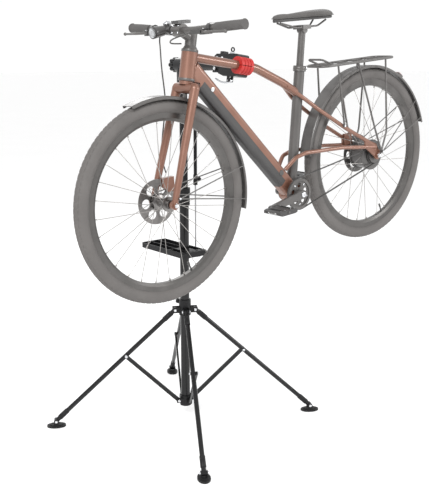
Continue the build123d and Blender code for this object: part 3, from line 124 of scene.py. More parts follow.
class Layout:
    """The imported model's joints and boxes, as the axes that the pieces are placed in."""

    def __init__(self, frame: dict) -> None:
        """Reads the joints of the loaded model."""
        self.joints = {joint["name"]: joint for joint in frame["joints"]}
        self.nodes = frame["nodes"]
        self.mast = self._mast()
        self.bike = self._bike()
        self.clamp = self._clamp()

    def place(self, joint: str) -> np.ndarray:
        """Returns a hinge's point in metres."""
        return np.array(self.joints[joint]["pos_m"], float)

    def direction(self, joint: str) -> np.ndarray:
        """Returns a joint's axis as a unit vector."""
        axis = np.array(self.joints[joint]["axis"], float)
        return axis / np.linalg.norm(axis)

    def _mast(self) -> Axes:
        """Returns upright axes at the foot of the mast."""
        low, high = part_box("mast_lower_tube")
        middle = (np.array(low) + np.array(high)) / 2
        return Axes(np.array([middle[0], middle[1], 0.0]), np.eye(3))

    def _bike(self) -> Axes:
        """Returns axes at the rear axle: forward, towards the drive side, and up."""
        rear, front = self.place("rear_wheel_spin"), self.place("front_wheel_spin")
        forward = (front - rear) / np.linalg.norm(front - rear)
        side = self.direction("rear_wheel_spin")
        return Axes(rear, np.array([forward, side, np.cross(forward, side)]))

    def _clamp(self) -> Axes:
        """Returns axes in the jaws: along the held tube, back to the mast, and up."""
        along = self.direction("jaw_open")
        back = np.array([0.0, 1.0, 0.0])
        basis = np.array([along, back, np.cross(along, back)])
        pivot = self.place("jaw_open")
        return Axes(pivot - (np.array([0.0, 118.0, -14.0]) * MM) @ basis, basis)

    def leg(self, number: int) -> Axes:
        """Returns axes at the mast's foot whose first direction runs out along a leg."""
        across = self.direction(f"leg_{number}_fold")
        out = np.cross(across, np.array([0.0, 0.0, 1.0]))
        return Axes(self.mast.origin, np.array([out, across, [0.0, 0.0, 1.0]]))


# ---- Shapes, each a grid of points worked out as whole arrays ----
class Shape:
    """Grids of points over two parameters."""

    @staticmethod
    def lathe(axes: Axes, profile: Sequence, segments: int = 40) -> np.ndarray:
        """Turns a profile about the third axis: (r cos t, r sin t, h).

        Args:
            axes: Where the turned shape stands.
            profile: (radius, height) pairs in millimetres.
            segments: Divisions round the axis.

        Returns:
            A grid of points, profile by turn.
        """
        radius, height = np.asarray(profile, float).T
        turn = np.linspace(0, 2 * np.pi, segments, endpoint=False)
        x = radius[:, None] * np.cos(turn)
        y = radius[:, None] * np.sin(turn)
        return axes.put(np.stack([x, y, height[:, None] + 0 * turn], axis=-1))

    @staticmethod
    def smooth(points: Sequence, count: int) -> np.ndarray:
        """Runs a smooth line through points, as cubic pieces whose slopes are the neighbours' differences."""
        p = np.asarray(points, float)
        s = np.linspace(0, len(p) - 1, count)
        i = np.minimum(s.astype(int), len(p) - 2)
        t = (s - i)[:, None]
        slope = np.gradient(p, axis=0)
        a, b, ma, mb = p[i], p[i + 1], slope[i], slope[i + 1]
        return (
            2 * t**3 - 3 * t**2 + 1
        ) * a + (t**3 - 2 * t**2 + t) * ma + (3 * t**2 - 2 * t**3) * b + (t**3 - t**2) * mb

    @staticmethod
    def sweep(
        path: np.ndarray, across: np.ndarray, width: np.ndarray, height: np.ndarray, sides: int = 16
    ) -> np.ndarray:
        """Carries a superellipse along a path: path + w cos t * side + h sin t * normal.

        Args:
            path: The line, one point a row.
            across: A direction that stays off the path's own.
            width: Half the section's size along side, one for each point.
            height: Half its size along normal, one for each point.
            sides: Divisions round the section.

        Returns:
            A grid of points, path by section.
        """
        tangent = np.gradient(path, axis=0)
        tangent /= np.linalg.norm(tangent, axis=1, keepdims=True)
        side = across - (tangent @ across)[:, None] * tangent
        side /= np.linalg.norm(side, axis=1, keepdims=True)
        normal = np.cross(tangent, side)
        turn = np.linspace(0, 2 * np.pi, sides, endpoint=False)
        c, s = np.cos(turn), np.sin(turn)
        c, s = np.sign(c) * np.abs(c) ** 0.8, np.sign(s) * np.abs(s) ** 0.8
        wide = (width[:, None] * c)[..., None] * side[:, None, :]
        tall = (height[:, None] * s)[..., None] * normal[:, None, :]
        return path[:, None, :] + wide + tall

    @staticmethod
    def bead(path: np.ndarray, radius: float, sides: int = 8) -> np.ndarray:
        """Carries a rippled round along a closed path, its two directions taken from the path's middle.

        Args:
            path: A closed line in metres, one point a row.
            radius: The round's radius in millimetres.
            sides: Divisions round the section.

        Returns:
            A grid of points, path by section.
        """
        tangent = np.roll(path, -1, axis=0) - np.roll(path, 1, axis=0)
        tangent /= np.linalg.norm(tangent, axis=1, keepdims=True)
        outward = path - path.mean(axis=0)
        outward -= np.sum(outward * tangent, axis=1, keepdims=True) * tangent
        outward /= np.linalg.norm(outward, axis=1, keepdims=True)
        normal = np.cross(tangent, outward)
        turn = np.linspace(0, 2 * np.pi, sides, endpoint=False)
        ripple = radius * MM * (1 + 0.12 * np.cos(np.arange(len(path)) * np.pi / 2))[:, None, None]
        c, s = np.cos(turn)[None, :, None], np.sin(turn)[None, :, None]
        round_ = c * outward[:, None, :] + s * normal[:, None, :]
        return path[:, None, :] + ripple * round_


class Screw(Enum):
    """Profiles of bolt heads and nuts: (radius, height) pairs, from the seat's middle to the top's."""

    BUTTON = (
        (0, 0), (6.5, 0), (6.5, 1.6), (6.1, 2.6), (5.2, 3.3), (4.2, 3.7), (2.7, 3.8), (2.5, 3.3), (0, 3.3)
    )
    DOME_NUT = (
        (0, 0), (7.2, 0), (7.2, 0.9), (5.8, 1.0), (5.6, 3.4), (4.9, 4.9), (3.4, 6.0), (1.6, 6.5), (0, 6.6)
    )
    SMALL = ((0, 0), (2.9, 0), (2.9, 1.0), (2.4, 1.7), (1.5, 1.9), (1.4, 1.1), (0, 1.1))


class Piece:
    """One mesh put together from grids of points."""

    def __init__(self, name: str) -> None:
        """Starts an empty mesh with a piece's name."""
        self.name = name
        self.points: list[np.ndarray] = []
        self.faces: list[list[int]] = []
        self.count = 0

    def add(self, grid: np.ndarray, close_u: bool = False, close_v: bool = True, caps: bool = False) -> Piece:
        """Adds a grid as quads between neighbouring points.

        Args:
            grid: Points, first parameter by second by three.
            close_u: Whether the first parameter wraps.
            close_v: Whether the second parameter wraps.
            caps: Whether the first and last rows are filled with a face.

        Returns:
            This piece.
        """
        rows, columns = grid.shape[:2]
        index = np.arange(rows * columns).reshape(rows, columns) + self.count
        if close_u:
            index = np.vstack([index, index[:1]])
        if close_v:
            index = np.hstack([index, index[:, :1]])
        quads = np.stack([index[:-1, :-1], index[1:, :-1], index[1:, 1:], index[:-1, 1:]], axis=-1)
        self.faces += quads.reshape(-1, 4).tolist()
        if caps:
            self.faces += [index[0, :columns][::-1].tolist(), index[rows - 1, :columns].tolist()]
        self.points.append(grid.reshape(-1, 3))
        self.count += rows * columns
        return self

    def screws(self, kind: Screw, places: Iterable[Axes], scale: float = 1.0, sides: int = 20) -> Piece:
        """Adds the same bolt head at each of several places and returns this piece."""
        for place in places:
            self.add(Shape.lathe(place, np.array(kind.value) * scale, sides))
        return self

    def build(self, body: str, slot: str, finish: bpy.types.Material, sharp: float = 35.0) -> bpy.types.Object:
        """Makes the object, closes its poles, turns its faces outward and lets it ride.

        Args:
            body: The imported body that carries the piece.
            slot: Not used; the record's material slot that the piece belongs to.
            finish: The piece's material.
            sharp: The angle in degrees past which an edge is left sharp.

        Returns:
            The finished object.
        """
        mesh = bpy.data.meshes.new(self.name)
        mesh.from_pydata(np.vstack(self.points).tolist(), [], self.faces)
        work = bmesh.new()
        work.from_mesh(mesh)
        bmesh.ops.remove_doubles(work, verts=work.verts, dist=2e-6)
        bmesh.ops.dissolve_degenerate(work, edges=work.edges, dist=1e-7)
        bmesh.ops.recalc_face_normals(work, faces=work.faces)
        work.to_mesh(mesh)
        work.free()
        mesh.shade_smooth()
        mesh.set_sharp_from_angle(angle=math.radians(sharp))
        obj = bpy.data.objects.new(self.name, mesh)
        bpy.context.scene.collection.objects.link(obj)
        mesh.materials.append(finish)
        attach(obj, body)
        LOG.info("%s: %d faces on %s", self.name, len(mesh.polygons), body)
        return obj


# ---- Finishes ----
class Graph:
    """A node tree with short ways to add nodes and join their sockets."""

    def __init__(self, tree: bpy.types.NodeTree) -> None:
        """Wraps a node tree."""
        self.tree = tree

    def node(self, kind: str, settings: dict | None = None, **inputs: object) -> bpy.types.Node:
        """Adds a node.

        Args:
            kind: The node's type without its ShaderNode prefix.
            settings: The node's own properties.
            **inputs: Input names, underscores for spaces, to a value or to a socket to join.

        Returns:
            The new node.
        """
        made = self.tree.nodes.new("ShaderNode" + kind)
        for name, value in (settings or {}).items():
            setattr(made, name, value)
        for name, value in inputs.items():
            self.feed(made, name.replace("_", " "), value)
        return made

    def feed(self, node: bpy.types.Node, name: str | int, value: object) -> None:
        """Sets an input to a value, or joins it to a socket."""
        socket = node.inputs[name]
        if isinstance(value, bpy.types.NodeSocket):
            self.tree.links.new(value, socket)
        else:
            socket.default_value = value

    def maths(self, operation: str, first: object, second: object = 0.0) -> bpy.types.NodeSocket:
        """Adds a Math node on two values or sockets and returns its result."""
        node = self.node("Math", {"operation": operation})
        self.feed(node, 0, first)
        self.feed(node, 1, second)
        return node.outputs[0]

    def vectors(self, operation: str, first: object, second: object, slot: int = 1) -> bpy.types.NodeSocket:
        """Adds a Vector Math node on two values or sockets and returns its vector."""
        node = self.node("VectorMath", {"operation": operation})
        self.feed(node, 0, first)
        self.feed(node, slot, second)
        return node.outputs[0]


class Effects:
    """The shader node groups that several finishes use, each built once."""

    def __init__(self) -> None:
        """Builds every group."""
        self.mottle = self._mottle()
        self.peel = self._peel()
        self.grain = self._grain()
        self.brushed = self._brushed()
        self.scratches = self._scratches()
        self.edge = self._edge()

    @staticmethod
    def _group(
        name: str, inputs: dict[str, tuple[str, float | None]], outputs: dict[str, str]
    ) -> tuple[Graph, bpy.types.Node, bpy.types.Node]:
        """Makes a group with named sockets.

        Args:
            name: The group's name.
            inputs: Socket names to their kind and default.
            outputs: Socket names to their kind.

        Returns:
            The group's graph, its input node and its output node.
        """
        tree = bpy.data.node_groups.new(name, "ShaderNodeTree")
        for label, (kind, default) in inputs.items():
            socket = tree.interface.new_socket(name=label, in_out="INPUT", socket_type="NodeSocket" + kind)
            if default is not None:
                socket.default_value = default
        for label, kind in outputs.items():
            tree.interface.new_socket(name=label, in_out="OUTPUT", socket_type="NodeSocket" + kind)
        return Graph(tree), tree.nodes.new("NodeGroupInput"), tree.nodes.new("NodeGroupOutput")

    def _mottle(self) -> bpy.types.NodeTree:
        """Builds slow and fine cloudiness mixed, from 0 to 1."""
        g, source, sink = self._group(
            "mottle", {"Vector": ("Vector", None), "Scale": ("Float", 20.0), "Fine": ("Float", 0.3)},
            {"Value": "Float"},
        )
        slow = g.node(
            "TexNoise", Vector=source.outputs["Vector"], Scale=source.outputs["Scale"], Detail=4.0,
            Roughness=0.55,
        )
        fine_scale = g.maths("MULTIPLY", source.outputs["Scale"], 9.0)
        fine = g.node("TexNoise", Vector=source.outputs["Vector"], Scale=fine_scale, Detail=3.0)
        part = g.maths("MULTIPLY", g.maths("SUBTRACT", fine.outputs[0], 0.5), source.outputs["Fine"])
        spread = g.node("MapRange", Value=slow.outputs[0], From_Min=0.3, From_Max=0.7)
        g.feed(sink, "Value", g.maths("ADD", spread.outputs[0], part))
        return g.tree

    def _peel(self) -> bpy.types.NodeTree:
        """Builds the low waviness of sprayed or powdered paint, as a height."""
        g, source, sink = self._group(
            "orange_peel", {"Vector": ("Vector", None), "Scale": ("Float", 400.0)}, {"Height": "Float"}
        )
        wave = g.node(
            "TexNoise", Vector=source.outputs["Vector"], Scale=source.outputs["Scale"], Detail=1.5,
            Roughness=0.4,
        )
        g.feed(sink, "Height", wave.outputs[0])
        return g.tree

    def _grain(self) -> bpy.types.NodeTree:
        """Builds pebbled cells parted by creases, as a height and as a crease mask."""
        g, source, sink = self._group(
            "grain", {"Vector": ("Vector", None), "Scale": ("Float", 600.0), "Crease": ("Float", 0.12)},
            {"Height": "Float", "Creases": "Float"},
        )
        warp = g.node(
            "TexNoise", Vector=source.outputs["Vector"],
            Scale=g.maths("MULTIPLY", source.outputs["Scale"], 0.4), Detail=2.0,
        )
        moved = g.vectors("ADD", source.outputs["Vector"], g.vectors("SCALE", warp.outputs["Color"], 0.0012, 3))
        cells = g.node(
            "TexVoronoi", {"feature": "DISTANCE_TO_EDGE"}, Vector=moved, Scale=source.outputs["Scale"]
        )
        rise = g.node(
            "MapRange", {"interpolation_type": "SMOOTHSTEP"}, Value=cells.outputs["Distance"], From_Min=0.0,
            From_Max=source.outputs["Crease"],
        )
        g.feed(sink, "Height", rise.outputs[0])
        g.feed(sink, "Creases", g.maths("SUBTRACT", 1.0, rise.outputs[0]))
        return g.tree

    def _brushed(self) -> bpy.types.NodeTree:
        """Builds fine streaks along a direction, as a height and a value."""
        g, source, sink = self._group(
            "brushed", {"Vector": ("Vector", None), "Scale": ("Float", 300.0), "Stretch": ("Vector", None)},
            {"Height": "Float", "Value": "Float"},
        )
        pulled = g.vectors("MULTIPLY", source.outputs["Vector"], source.outputs["Stretch"])
        streak = g.node("TexNoise", Vector=pulled, Scale=source.outputs["Scale"], Detail=5.0, Roughness=0.65)
        soft = g.node(
            "TexNoise", Vector=pulled, Scale=g.maths("MULTIPLY", source.outputs["Scale"], 0.2), Detail=2.0
        )
        g.feed(sink, "Height", streak.outputs[0])
        g.feed(sink, "Value", g.maths("MULTIPLY", streak.outputs[0], g.maths("ADD", soft.outputs[0], 0.5)))
        return g.tree

    def _scratches(self) -> bpy.types.NodeTree:
        """Builds sparse hairlines, as a mask."""
        g, source, sink = self._group(
            "scratches", {"Vector": ("Vector", None), "Scale": ("Float", 30.0), "Amount": ("Float", 0.4)},
            {"Mask": "Float"},
        )
        bend = g.node("TexNoise", Vector=source.outputs["Vector"], Scale=6.0, Detail=1.0)
        moved = g.vectors("ADD", source.outputs["Vector"], g.vectors("SCALE", bend.outputs["Color"], 0.08, 3))
        lines = g.node(
            "TexVoronoi", {"feature": "DISTANCE_TO_EDGE"}, Vector=moved, Scale=source.outputs["Scale"]
        )
        thin = g.node(
            "MapRange", Value=lines.outputs["Distance"], From_Min=0.0, From_Max=0.012, To_Min=1.0, To_Max=0.0
        )
        where = g.node("TexNoise", Vector=source.outputs["Vector"], Scale=14.0, Detail=2.0)
        patch = g.node("MapRange", Value=where.outputs[0], From_Min=0.52, From_Max=0.62)
        both = g.maths("MULTIPLY", thin.outputs[0], patch.outputs[0])
        g.feed(sink, "Mask", g.maths("MULTIPLY", both, source.outputs["Amount"]))
        return g.tree

    def _edge(self) -> bpy.types.NodeTree:
        """Builds softened corners: a normal rounded over a radius, and a mask of where it bends."""
        g, source, sink = self._group(
            "soft_edge", {"Radius": ("Float", 0.0008), "Gain": ("Float", 4.0)},
            {"Normal": "Vector", "Mask": "Float"},
        )
        soft = g.node("Bevel", {"samples": 4}, Radius=source.outputs["Radius"])
        true = g.node("NewGeometry")
        dot = g.node("VectorMath", {"operation": "DOT_PRODUCT"})
        g.feed(dot, 0, soft.outputs[0])
        g.feed(dot, 1, true.outputs["True Normal"])
        bent = g.maths("MULTIPLY", g.maths("SUBTRACT", 1.0, dot.outputs["Value"]), source.outputs["Gain"])
        g.feed(sink, "Normal", soft.outputs[0])
        g.feed(sink, "Mask", g.maths("MINIMUM", bent, 1.0))
        return g.tree


class Relief(Enum):
    """The small-scale relief that a finish has."""

    PEEL = "peel"
    GRAIN = "grain"
    BRUSHED = "brushed"


@dataclass(frozen=True)
class Finish:
    """A surface: two colours that drift into each other, a roughness range, a relief and how its edges wear."""

    name: str
    base: Colour
    shade: Colour
    rough: tuple[float, float]
    relief: Relief = Relief.PEEL
    relief_scale: float = 500.0
    relief_depth: float = 0.02
    stretch: Point = (1.0, 1.0, 1.0)
    cloud_scale: float = 14.0
    metallic: float = 0.0
    coat: float = 0.0
    sheen: float = 0.0
    specular: float = 0.5
    edge_colour: Colour = (0.3, 0.3, 0.3)
    edge_amount: float = 0.25
    edge_radius: float = 0.8
    scratch: float = 0.15

    def make(self, effects: Effects) -> bpy.types.Material:
        """Builds the material from the shared effects and returns it."""
        material = bpy.data.materials.new(self.name)
        material.use_nodes = True
        material.diffuse_color = (*self.base, 1.0)
        g = Graph(material.node_tree)
        g.tree.nodes.clear()
        where = g.node("TexCoord").outputs["Object"]
        cloud = g.node(
            "Group", {"node_tree": effects.mottle}, Vector=where, Scale=self.cloud_scale
        ).outputs["Value"]
        colour = g.node("Mix", {"data_type": "RGBA", "clamp_factor": True})
        g.feed(colour, 0, cloud)
        g.feed(colour, 6, (*self.base, 1.0))
        g.feed(colour, 7, (*self.shade, 1.0))
        edge = g.node("Group", {"node_tree": effects.edge}, Radius=self.edge_radius * MM)
        marks = g.node(
            "Group", {"node_tree": effects.scratches}, Vector=where, Amount=self.scratch
        ).outputs["Mask"]
        worn = g.maths(
            "MINIMUM", g.maths("ADD", g.maths("MULTIPLY", edge.outputs["Mask"], self.edge_amount), marks), 1.0
        )
        tinted = g.node("Mix", {"data_type": "RGBA", "clamp_factor": True})
        g.feed(tinted, 0, worn)
        g.feed(tinted, 6, colour.outputs[2])
        g.feed(tinted, 7, (*self.edge_colour, 1.0))
        height, value = self._relief(g, effects, where, cloud)
        rough = g.node("MapRange", Value=value, To_Min=self.rough[0], To_Max=self.rough[1])
        bump = g.node(
            "Bump", Strength=1.0, Distance=self.relief_depth * MM, Height=height, Normal=edge.outputs["Normal"]
        )
        shader = g.node(
            "BsdfPrincipled", Base_Color=tinted.outputs[2], Roughness=rough.outputs[0], Normal=bump.outputs[0]
        )
        shader.inputs["Metallic"].default_value = self.metallic
        shader.inputs["Coat Weight"].default_value = self.coat
        shader.inputs["Coat Roughness"].default_value = 0.08
        shader.inputs["Sheen Weight"].default_value = self.sheen
        shader.inputs["Specular IOR Level"].default_value = self.specular
        g.node("OutputMaterial", Surface=shader.outputs[0])
        return material

    def _relief(
        self, g: Graph, effects: Effects, where: bpy.types.NodeSocket, cloud: bpy.types.NodeSocket
    ) -> tuple[bpy.types.NodeSocket, bpy.types.NodeSocket]:
        """Adds the relief's group and returns its height and the value that sets roughness."""
        if self.relief is Relief.GRAIN:
            node = g.node("Group", {"node_tree": effects.grain}, Vector=where, Scale=self.relief_scale)
            return node.outputs["Height"], cloud
        if self.relief is Relief.BRUSHED:
            node = g.node(
                "Group", {"node_tree": effects.brushed}, Vector=where, Scale=self.relief_scale,
                Stretch=self.stretch,
            )
            return node.outputs["Height"], node.outputs["Value"]
        node = g.node("Group", {"node_tree": effects.peel}, Vector=where, Scale=self.relief_scale)
        return node.outputs["Height"], cloud


class Paint(Enum):
    """The object's finishes, by the part of it that each covers."""

    STAND_BLACK = Finish(
        "stand_gloss_black", (0.004, 0.004, 0.0045), (0.007, 0.007, 0.008), (0.16, 0.26), relief_depth=0.012,
        coat=0.12, specular=0.3, edge_colour=(0.06, 0.06, 0.062), edge_amount=0.4, scratch=0.05,
    )
    STAND_MOULDED = Finish(
        "stand_moulded_black", (0.006, 0.006, 0.0065), (0.011, 0.011, 0.012), (0.34, 0.5), specular=0.25,
        relief=Relief.GRAIN, relief_scale=900, relief_depth=0.02, edge_colour=(0.06, 0.06, 0.06), scratch=0.04,
    )
    BOLT = Finish(
        "bolt_plated", (0.74, 0.75, 0.77), (0.62, 0.63, 0.65), (0.16, 0.32), relief=Relief.BRUSHED,
        relief_scale=700, relief_depth=0.006, stretch=(1, 1, 0.2), metallic=1.0,
        edge_colour=(0.86, 0.86, 0.86), edge_radius=0.3, scratch=0.1,
    )
    LEVER_STEEL = Finish(
        "lever_polished", (0.66, 0.67, 0.69), (0.5, 0.51, 0.53), (0.12, 0.24), relief_depth=0.004,
        metallic=1.0, edge_colour=(0.85, 0.85, 0.85), edge_radius=0.4, scratch=0.25,
    )
    ROD_STEEL = Finish(
        "rod_zinc", (0.42, 0.42, 0.43), (0.52, 0.52, 0.53), (0.28, 0.42), relief=Relief.BRUSHED,
        relief_scale=500, relief_depth=0.006, stretch=(1, 1, 0.05), metallic=1.0, edge_radius=0.3,
    )
    PAD_RED = Finish(
        "pad_red_rubber", (0.5, 0.02, 0.016), (0.42, 0.014, 0.012), (0.42, 0.58), relief=Relief.GRAIN,
        relief_scale=1100, relief_depth=0.03, edge_colour=(0.6, 0.06, 0.05), edge_radius=1.2, scratch=0.03,
    )
    FOOT_RUBBER = Finish(
        "foot_rubber", (0.01, 0.01, 0.0105), (0.016, 0.016, 0.017), (0.5, 0.68), specular=0.25,
        relief=Relief.GRAIN, relief_scale=700, relief_depth=0.05, edge_radius=1.4, edge_amount=0.1,
        scratch=0.02,
    )
    FRAME_COPPER = Finish(
        "frame_satin_copper", (0.195, 0.09, 0.06), (0.225, 0.108, 0.074), (0.3, 0.42), relief_scale=600,
        relief_depth=0.01, metallic=0.35, coat=0.35, edge_colour=(0.4, 0.24, 0.18), scratch=0.03,
    )
    FRAME_WELD = Finish(
        "frame_weld", (0.178, 0.081, 0.054), (0.208, 0.1, 0.069), (0.34, 0.46), relief_depth=0.02,
        metallic=0.35, coat=0.3, edge_colour=(0.42, 0.28, 0.23), edge_radius=0.3, scratch=0.0,
    )
    BATTERY = Finish(
        "battery_textured", (0.04, 0.038, 0.038), (0.055, 0.053, 0.052), (0.42, 0.58), relief=Relief.GRAIN,
        relief_scale=1200, relief_depth=0.03, edge_colour=(0.16, 0.155, 0.15), scratch=0.04,
    )
    BIKE_GREY = Finish(
        "bike_satin_grey", (0.09, 0.085, 0.082), (0.115, 0.109, 0.105), (0.32, 0.46), relief_depth=0.012,
        metallic=0.3, coat=0.2, edge_colour=(0.22, 0.21, 0.205), scratch=0.05,
    )
    TYRE = Finish(
        "tyre_warm_grey", (0.108, 0.101, 0.097), (0.135, 0.127, 0.122), (0.62, 0.8), relief=Relief.GRAIN,
        relief_scale=1500, relief_depth=0.03, cloud_scale=9.0, specular=0.3, edge_colour=(0.2, 0.19, 0.184),
        edge_radius=0.6, scratch=0.02,
    )
    RIM = Finish(
        "rim_anodised", (0.1, 0.096, 0.092), (0.13, 0.124, 0.12), (0.26, 0.38), relief=Relief.BRUSHED,
        relief_scale=420, relief_depth=0.006, metallic=0.8, edge_colour=(0.4, 0.39, 0.38), edge_amount=0.4,
        scratch=0.06,
    )
    SPOKE = Finish(
        "spoke_drawn", (0.3, 0.286, 0.276), (0.38, 0.365, 0.35), (0.24, 0.36), relief=Relief.BRUSHED,
        relief_scale=600, relief_depth=0.004, metallic=0.9, edge_radius=0.2, scratch=0.0,
    )
    DISC = Finish(
        "disc_ground", (0.19, 0.182, 0.177), (0.25, 0.24, 0.234), (0.24, 0.4), relief=Relief.BRUSHED,
        relief_scale=500, relief_depth=0.01, stretch=(1, 0.1, 1), metallic=1.0, edge_colour=(0.42, 0.41, 0.4),
        edge_radius=0.3, scratch=0.3,
    )
    HUB = Finish(
        "hub_cast_grey", (0.1, 0.096, 0.094), (0.14, 0.135, 0.132), (0.3, 0.44), relief_scale=350,
        relief_depth=0.02, metallic=0.7, edge_colour=(0.45, 0.44, 0.43), scratch=0.06,
    )
    GRIP = Finish(
        "grip_soft_rubber", (0.07, 0.066, 0.064), (0.09, 0.086, 0.083), (0.58, 0.74), relief=Relief.GRAIN,
        relief_scale=1300, relief_depth=0.03, edge_radius=0.5, edge_amount=0.15, scratch=0.0,
    )
    HOSE = Finish(
        "hose_smooth", (0.04, 0.038, 0.037), (0.06, 0.057, 0.055), (0.4, 0.52), relief_depth=0.006,
        edge_radius=0.3, scratch=0.0,
    )
    BELT = Finish(
        "belt_rubber", (0.045, 0.043, 0.042), (0.062, 0.06, 0.058), (0.5, 0.66), relief=Relief.BRUSHED,
        relief_scale=900, relief_depth=0.02, stretch=(1, 0.1, 1), edge_radius=0.4, scratch=0.0,
    )
    SADDLE = Finish(
        "saddle_grained", (0.07, 0.066, 0.063), (0.092, 0.087, 0.083), (0.46, 0.62), relief=Relief.GRAIN,
        relief_scale=420, relief_depth=0.12, specular=0.4, sheen=0.15, edge_radius=0.6, edge_amount=0.1,
        scratch=0.03,
    )
    CONTROL = Finish(
        "control_gloss", (0.035, 0.034, 0.033), (0.05, 0.048, 0.047), (0.18, 0.3), relief_depth=0.006,
        coat=0.4, edge_colour=(0.2, 0.195, 0.19), edge_radius=0.6, scratch=0.04,
    )
    SCREEN = Finish(
        "screen_dark", (0.01, 0.011, 0.012), (0.014, 0.015, 0.017), (0.05, 0.09), relief_depth=0.001, coat=0.8,
        edge_radius=0.3, scratch=0.03,
    )
    REFLECTOR = Finish(
        "reflector_red", (0.32, 0.03, 0.025), (0.24, 0.02, 0.018), (0.1, 0.18), relief=Relief.GRAIN,
        relief_scale=380, relief_depth=0.25, coat=0.8, edge_radius=0.4, scratch=0.0,
    )
    LAMP_BOWL = Finish(
        "lamp_bowl", (0.72, 0.72, 0.72), (0.6, 0.6, 0.6), (0.08, 0.16), relief_depth=0.01, metallic=1.0,
        edge_radius=0.3, scratch=0.0,
    )


class Paints:
    """The finished materials, made when first asked for."""

    def __init__(self) -> None:
        """Builds the shared effects."""
        self.effects = Effects()
        self.made: dict[Paint, bpy.types.Material] = {}

    def __getitem__(self, paint: Paint) -> bpy.types.Material:
        """Returns a finish's material."""
        if paint not in self.made:
            self.made[paint] = paint.value.make(self.effects)
        return self.made[paint]

    def clear(self) -> bpy.types.Material:
        """Returns clear plastic with faint moulding waves, for the lamp's lens."""
        material = bpy.data.materials.new("lens_clear")
        material.use_nodes = True
        g = Graph(material.node_tree)
        g.tree.nodes.clear()
        where = g.node("TexCoord").outputs["Object"]
        wave = g.node("Group", {"node_tree": self.effects.peel}, Vector=where, Scale=260.0)
        cloud = g.node("Group", {"node_tree": self.effects.mottle}, Vector=where, Scale=40.0)
        rough = g.node("MapRange", Value=cloud.outputs[0], To_Min=0.02, To_Max=0.07)
        bump = g.node("Bump", Strength=0.6, Distance=0.02 * MM, Height=wave.outputs[0])
        shader = g.node("BsdfPrincipled", Roughness=rough.outputs[0], Normal=bump.outputs[0])
        shader.inputs["Base Color"].default_value = (0.92, 0.93, 0.94, 1.0)
        shader.inputs["Transmission Weight"].default_value = 0.92
        shader.inputs["IOR"].default_value = 1.46
        g.node("OutputMaterial", Surface=shader.outputs[0])
        return material


# ---- Sub-assemblies ----
@dataclass
class Kit:
    """What every sub-assembly holds: the places, the finishes, and short ways to make its common pieces."""

    layout: Layout
    paints: Paints

    @property
    def bike(self) -> Axes:
        """Returns the bicycle's axes."""
        return self.layout.bike

    def finish(self, piece: Piece, body: str, slot: str, paint: Paint, sharp: float = 35.0) -> bpy.types.Object:
        """Builds a piece on a body with a finish."""
        return piece.build(body, slot, self.paints[paint], sharp)

    def bolts(self, piece: Piece, body: str) -> bpy.types.Object:
        """Builds a piece of plated bolts on a body."""
        return self.finish(piece, body, "stand_bolts", Paint.BOLT)

    @staticmethod
    def oval(
        half_x: float, half_y: float, power_x: float, power_y: float, sides: int
    ) -> tuple[np.ndarray, np.ndarray]:
        """Returns a superellipse's points: (a sgn c |c|^p, b sgn s |s|^q)."""
        turn = np.linspace(0, 2 * np.pi, sides, endpoint=False)
        c, s = np.cos(turn), np.sin(turn)
        return half_x * np.sign(c) * np.abs(c) ** power_x, half_y * np.sign(s) * np.abs(s) ** power_y

    @staticmethod
    def facing(axes: Axes, side: np.ndarray) -> Axes:
        """Returns axes with the same origin and third row, whose first row is a given direction."""
        return Axes(axes.origin, np.array([side, np.cross(axes.basis[2], side), axes.basis[2]]))


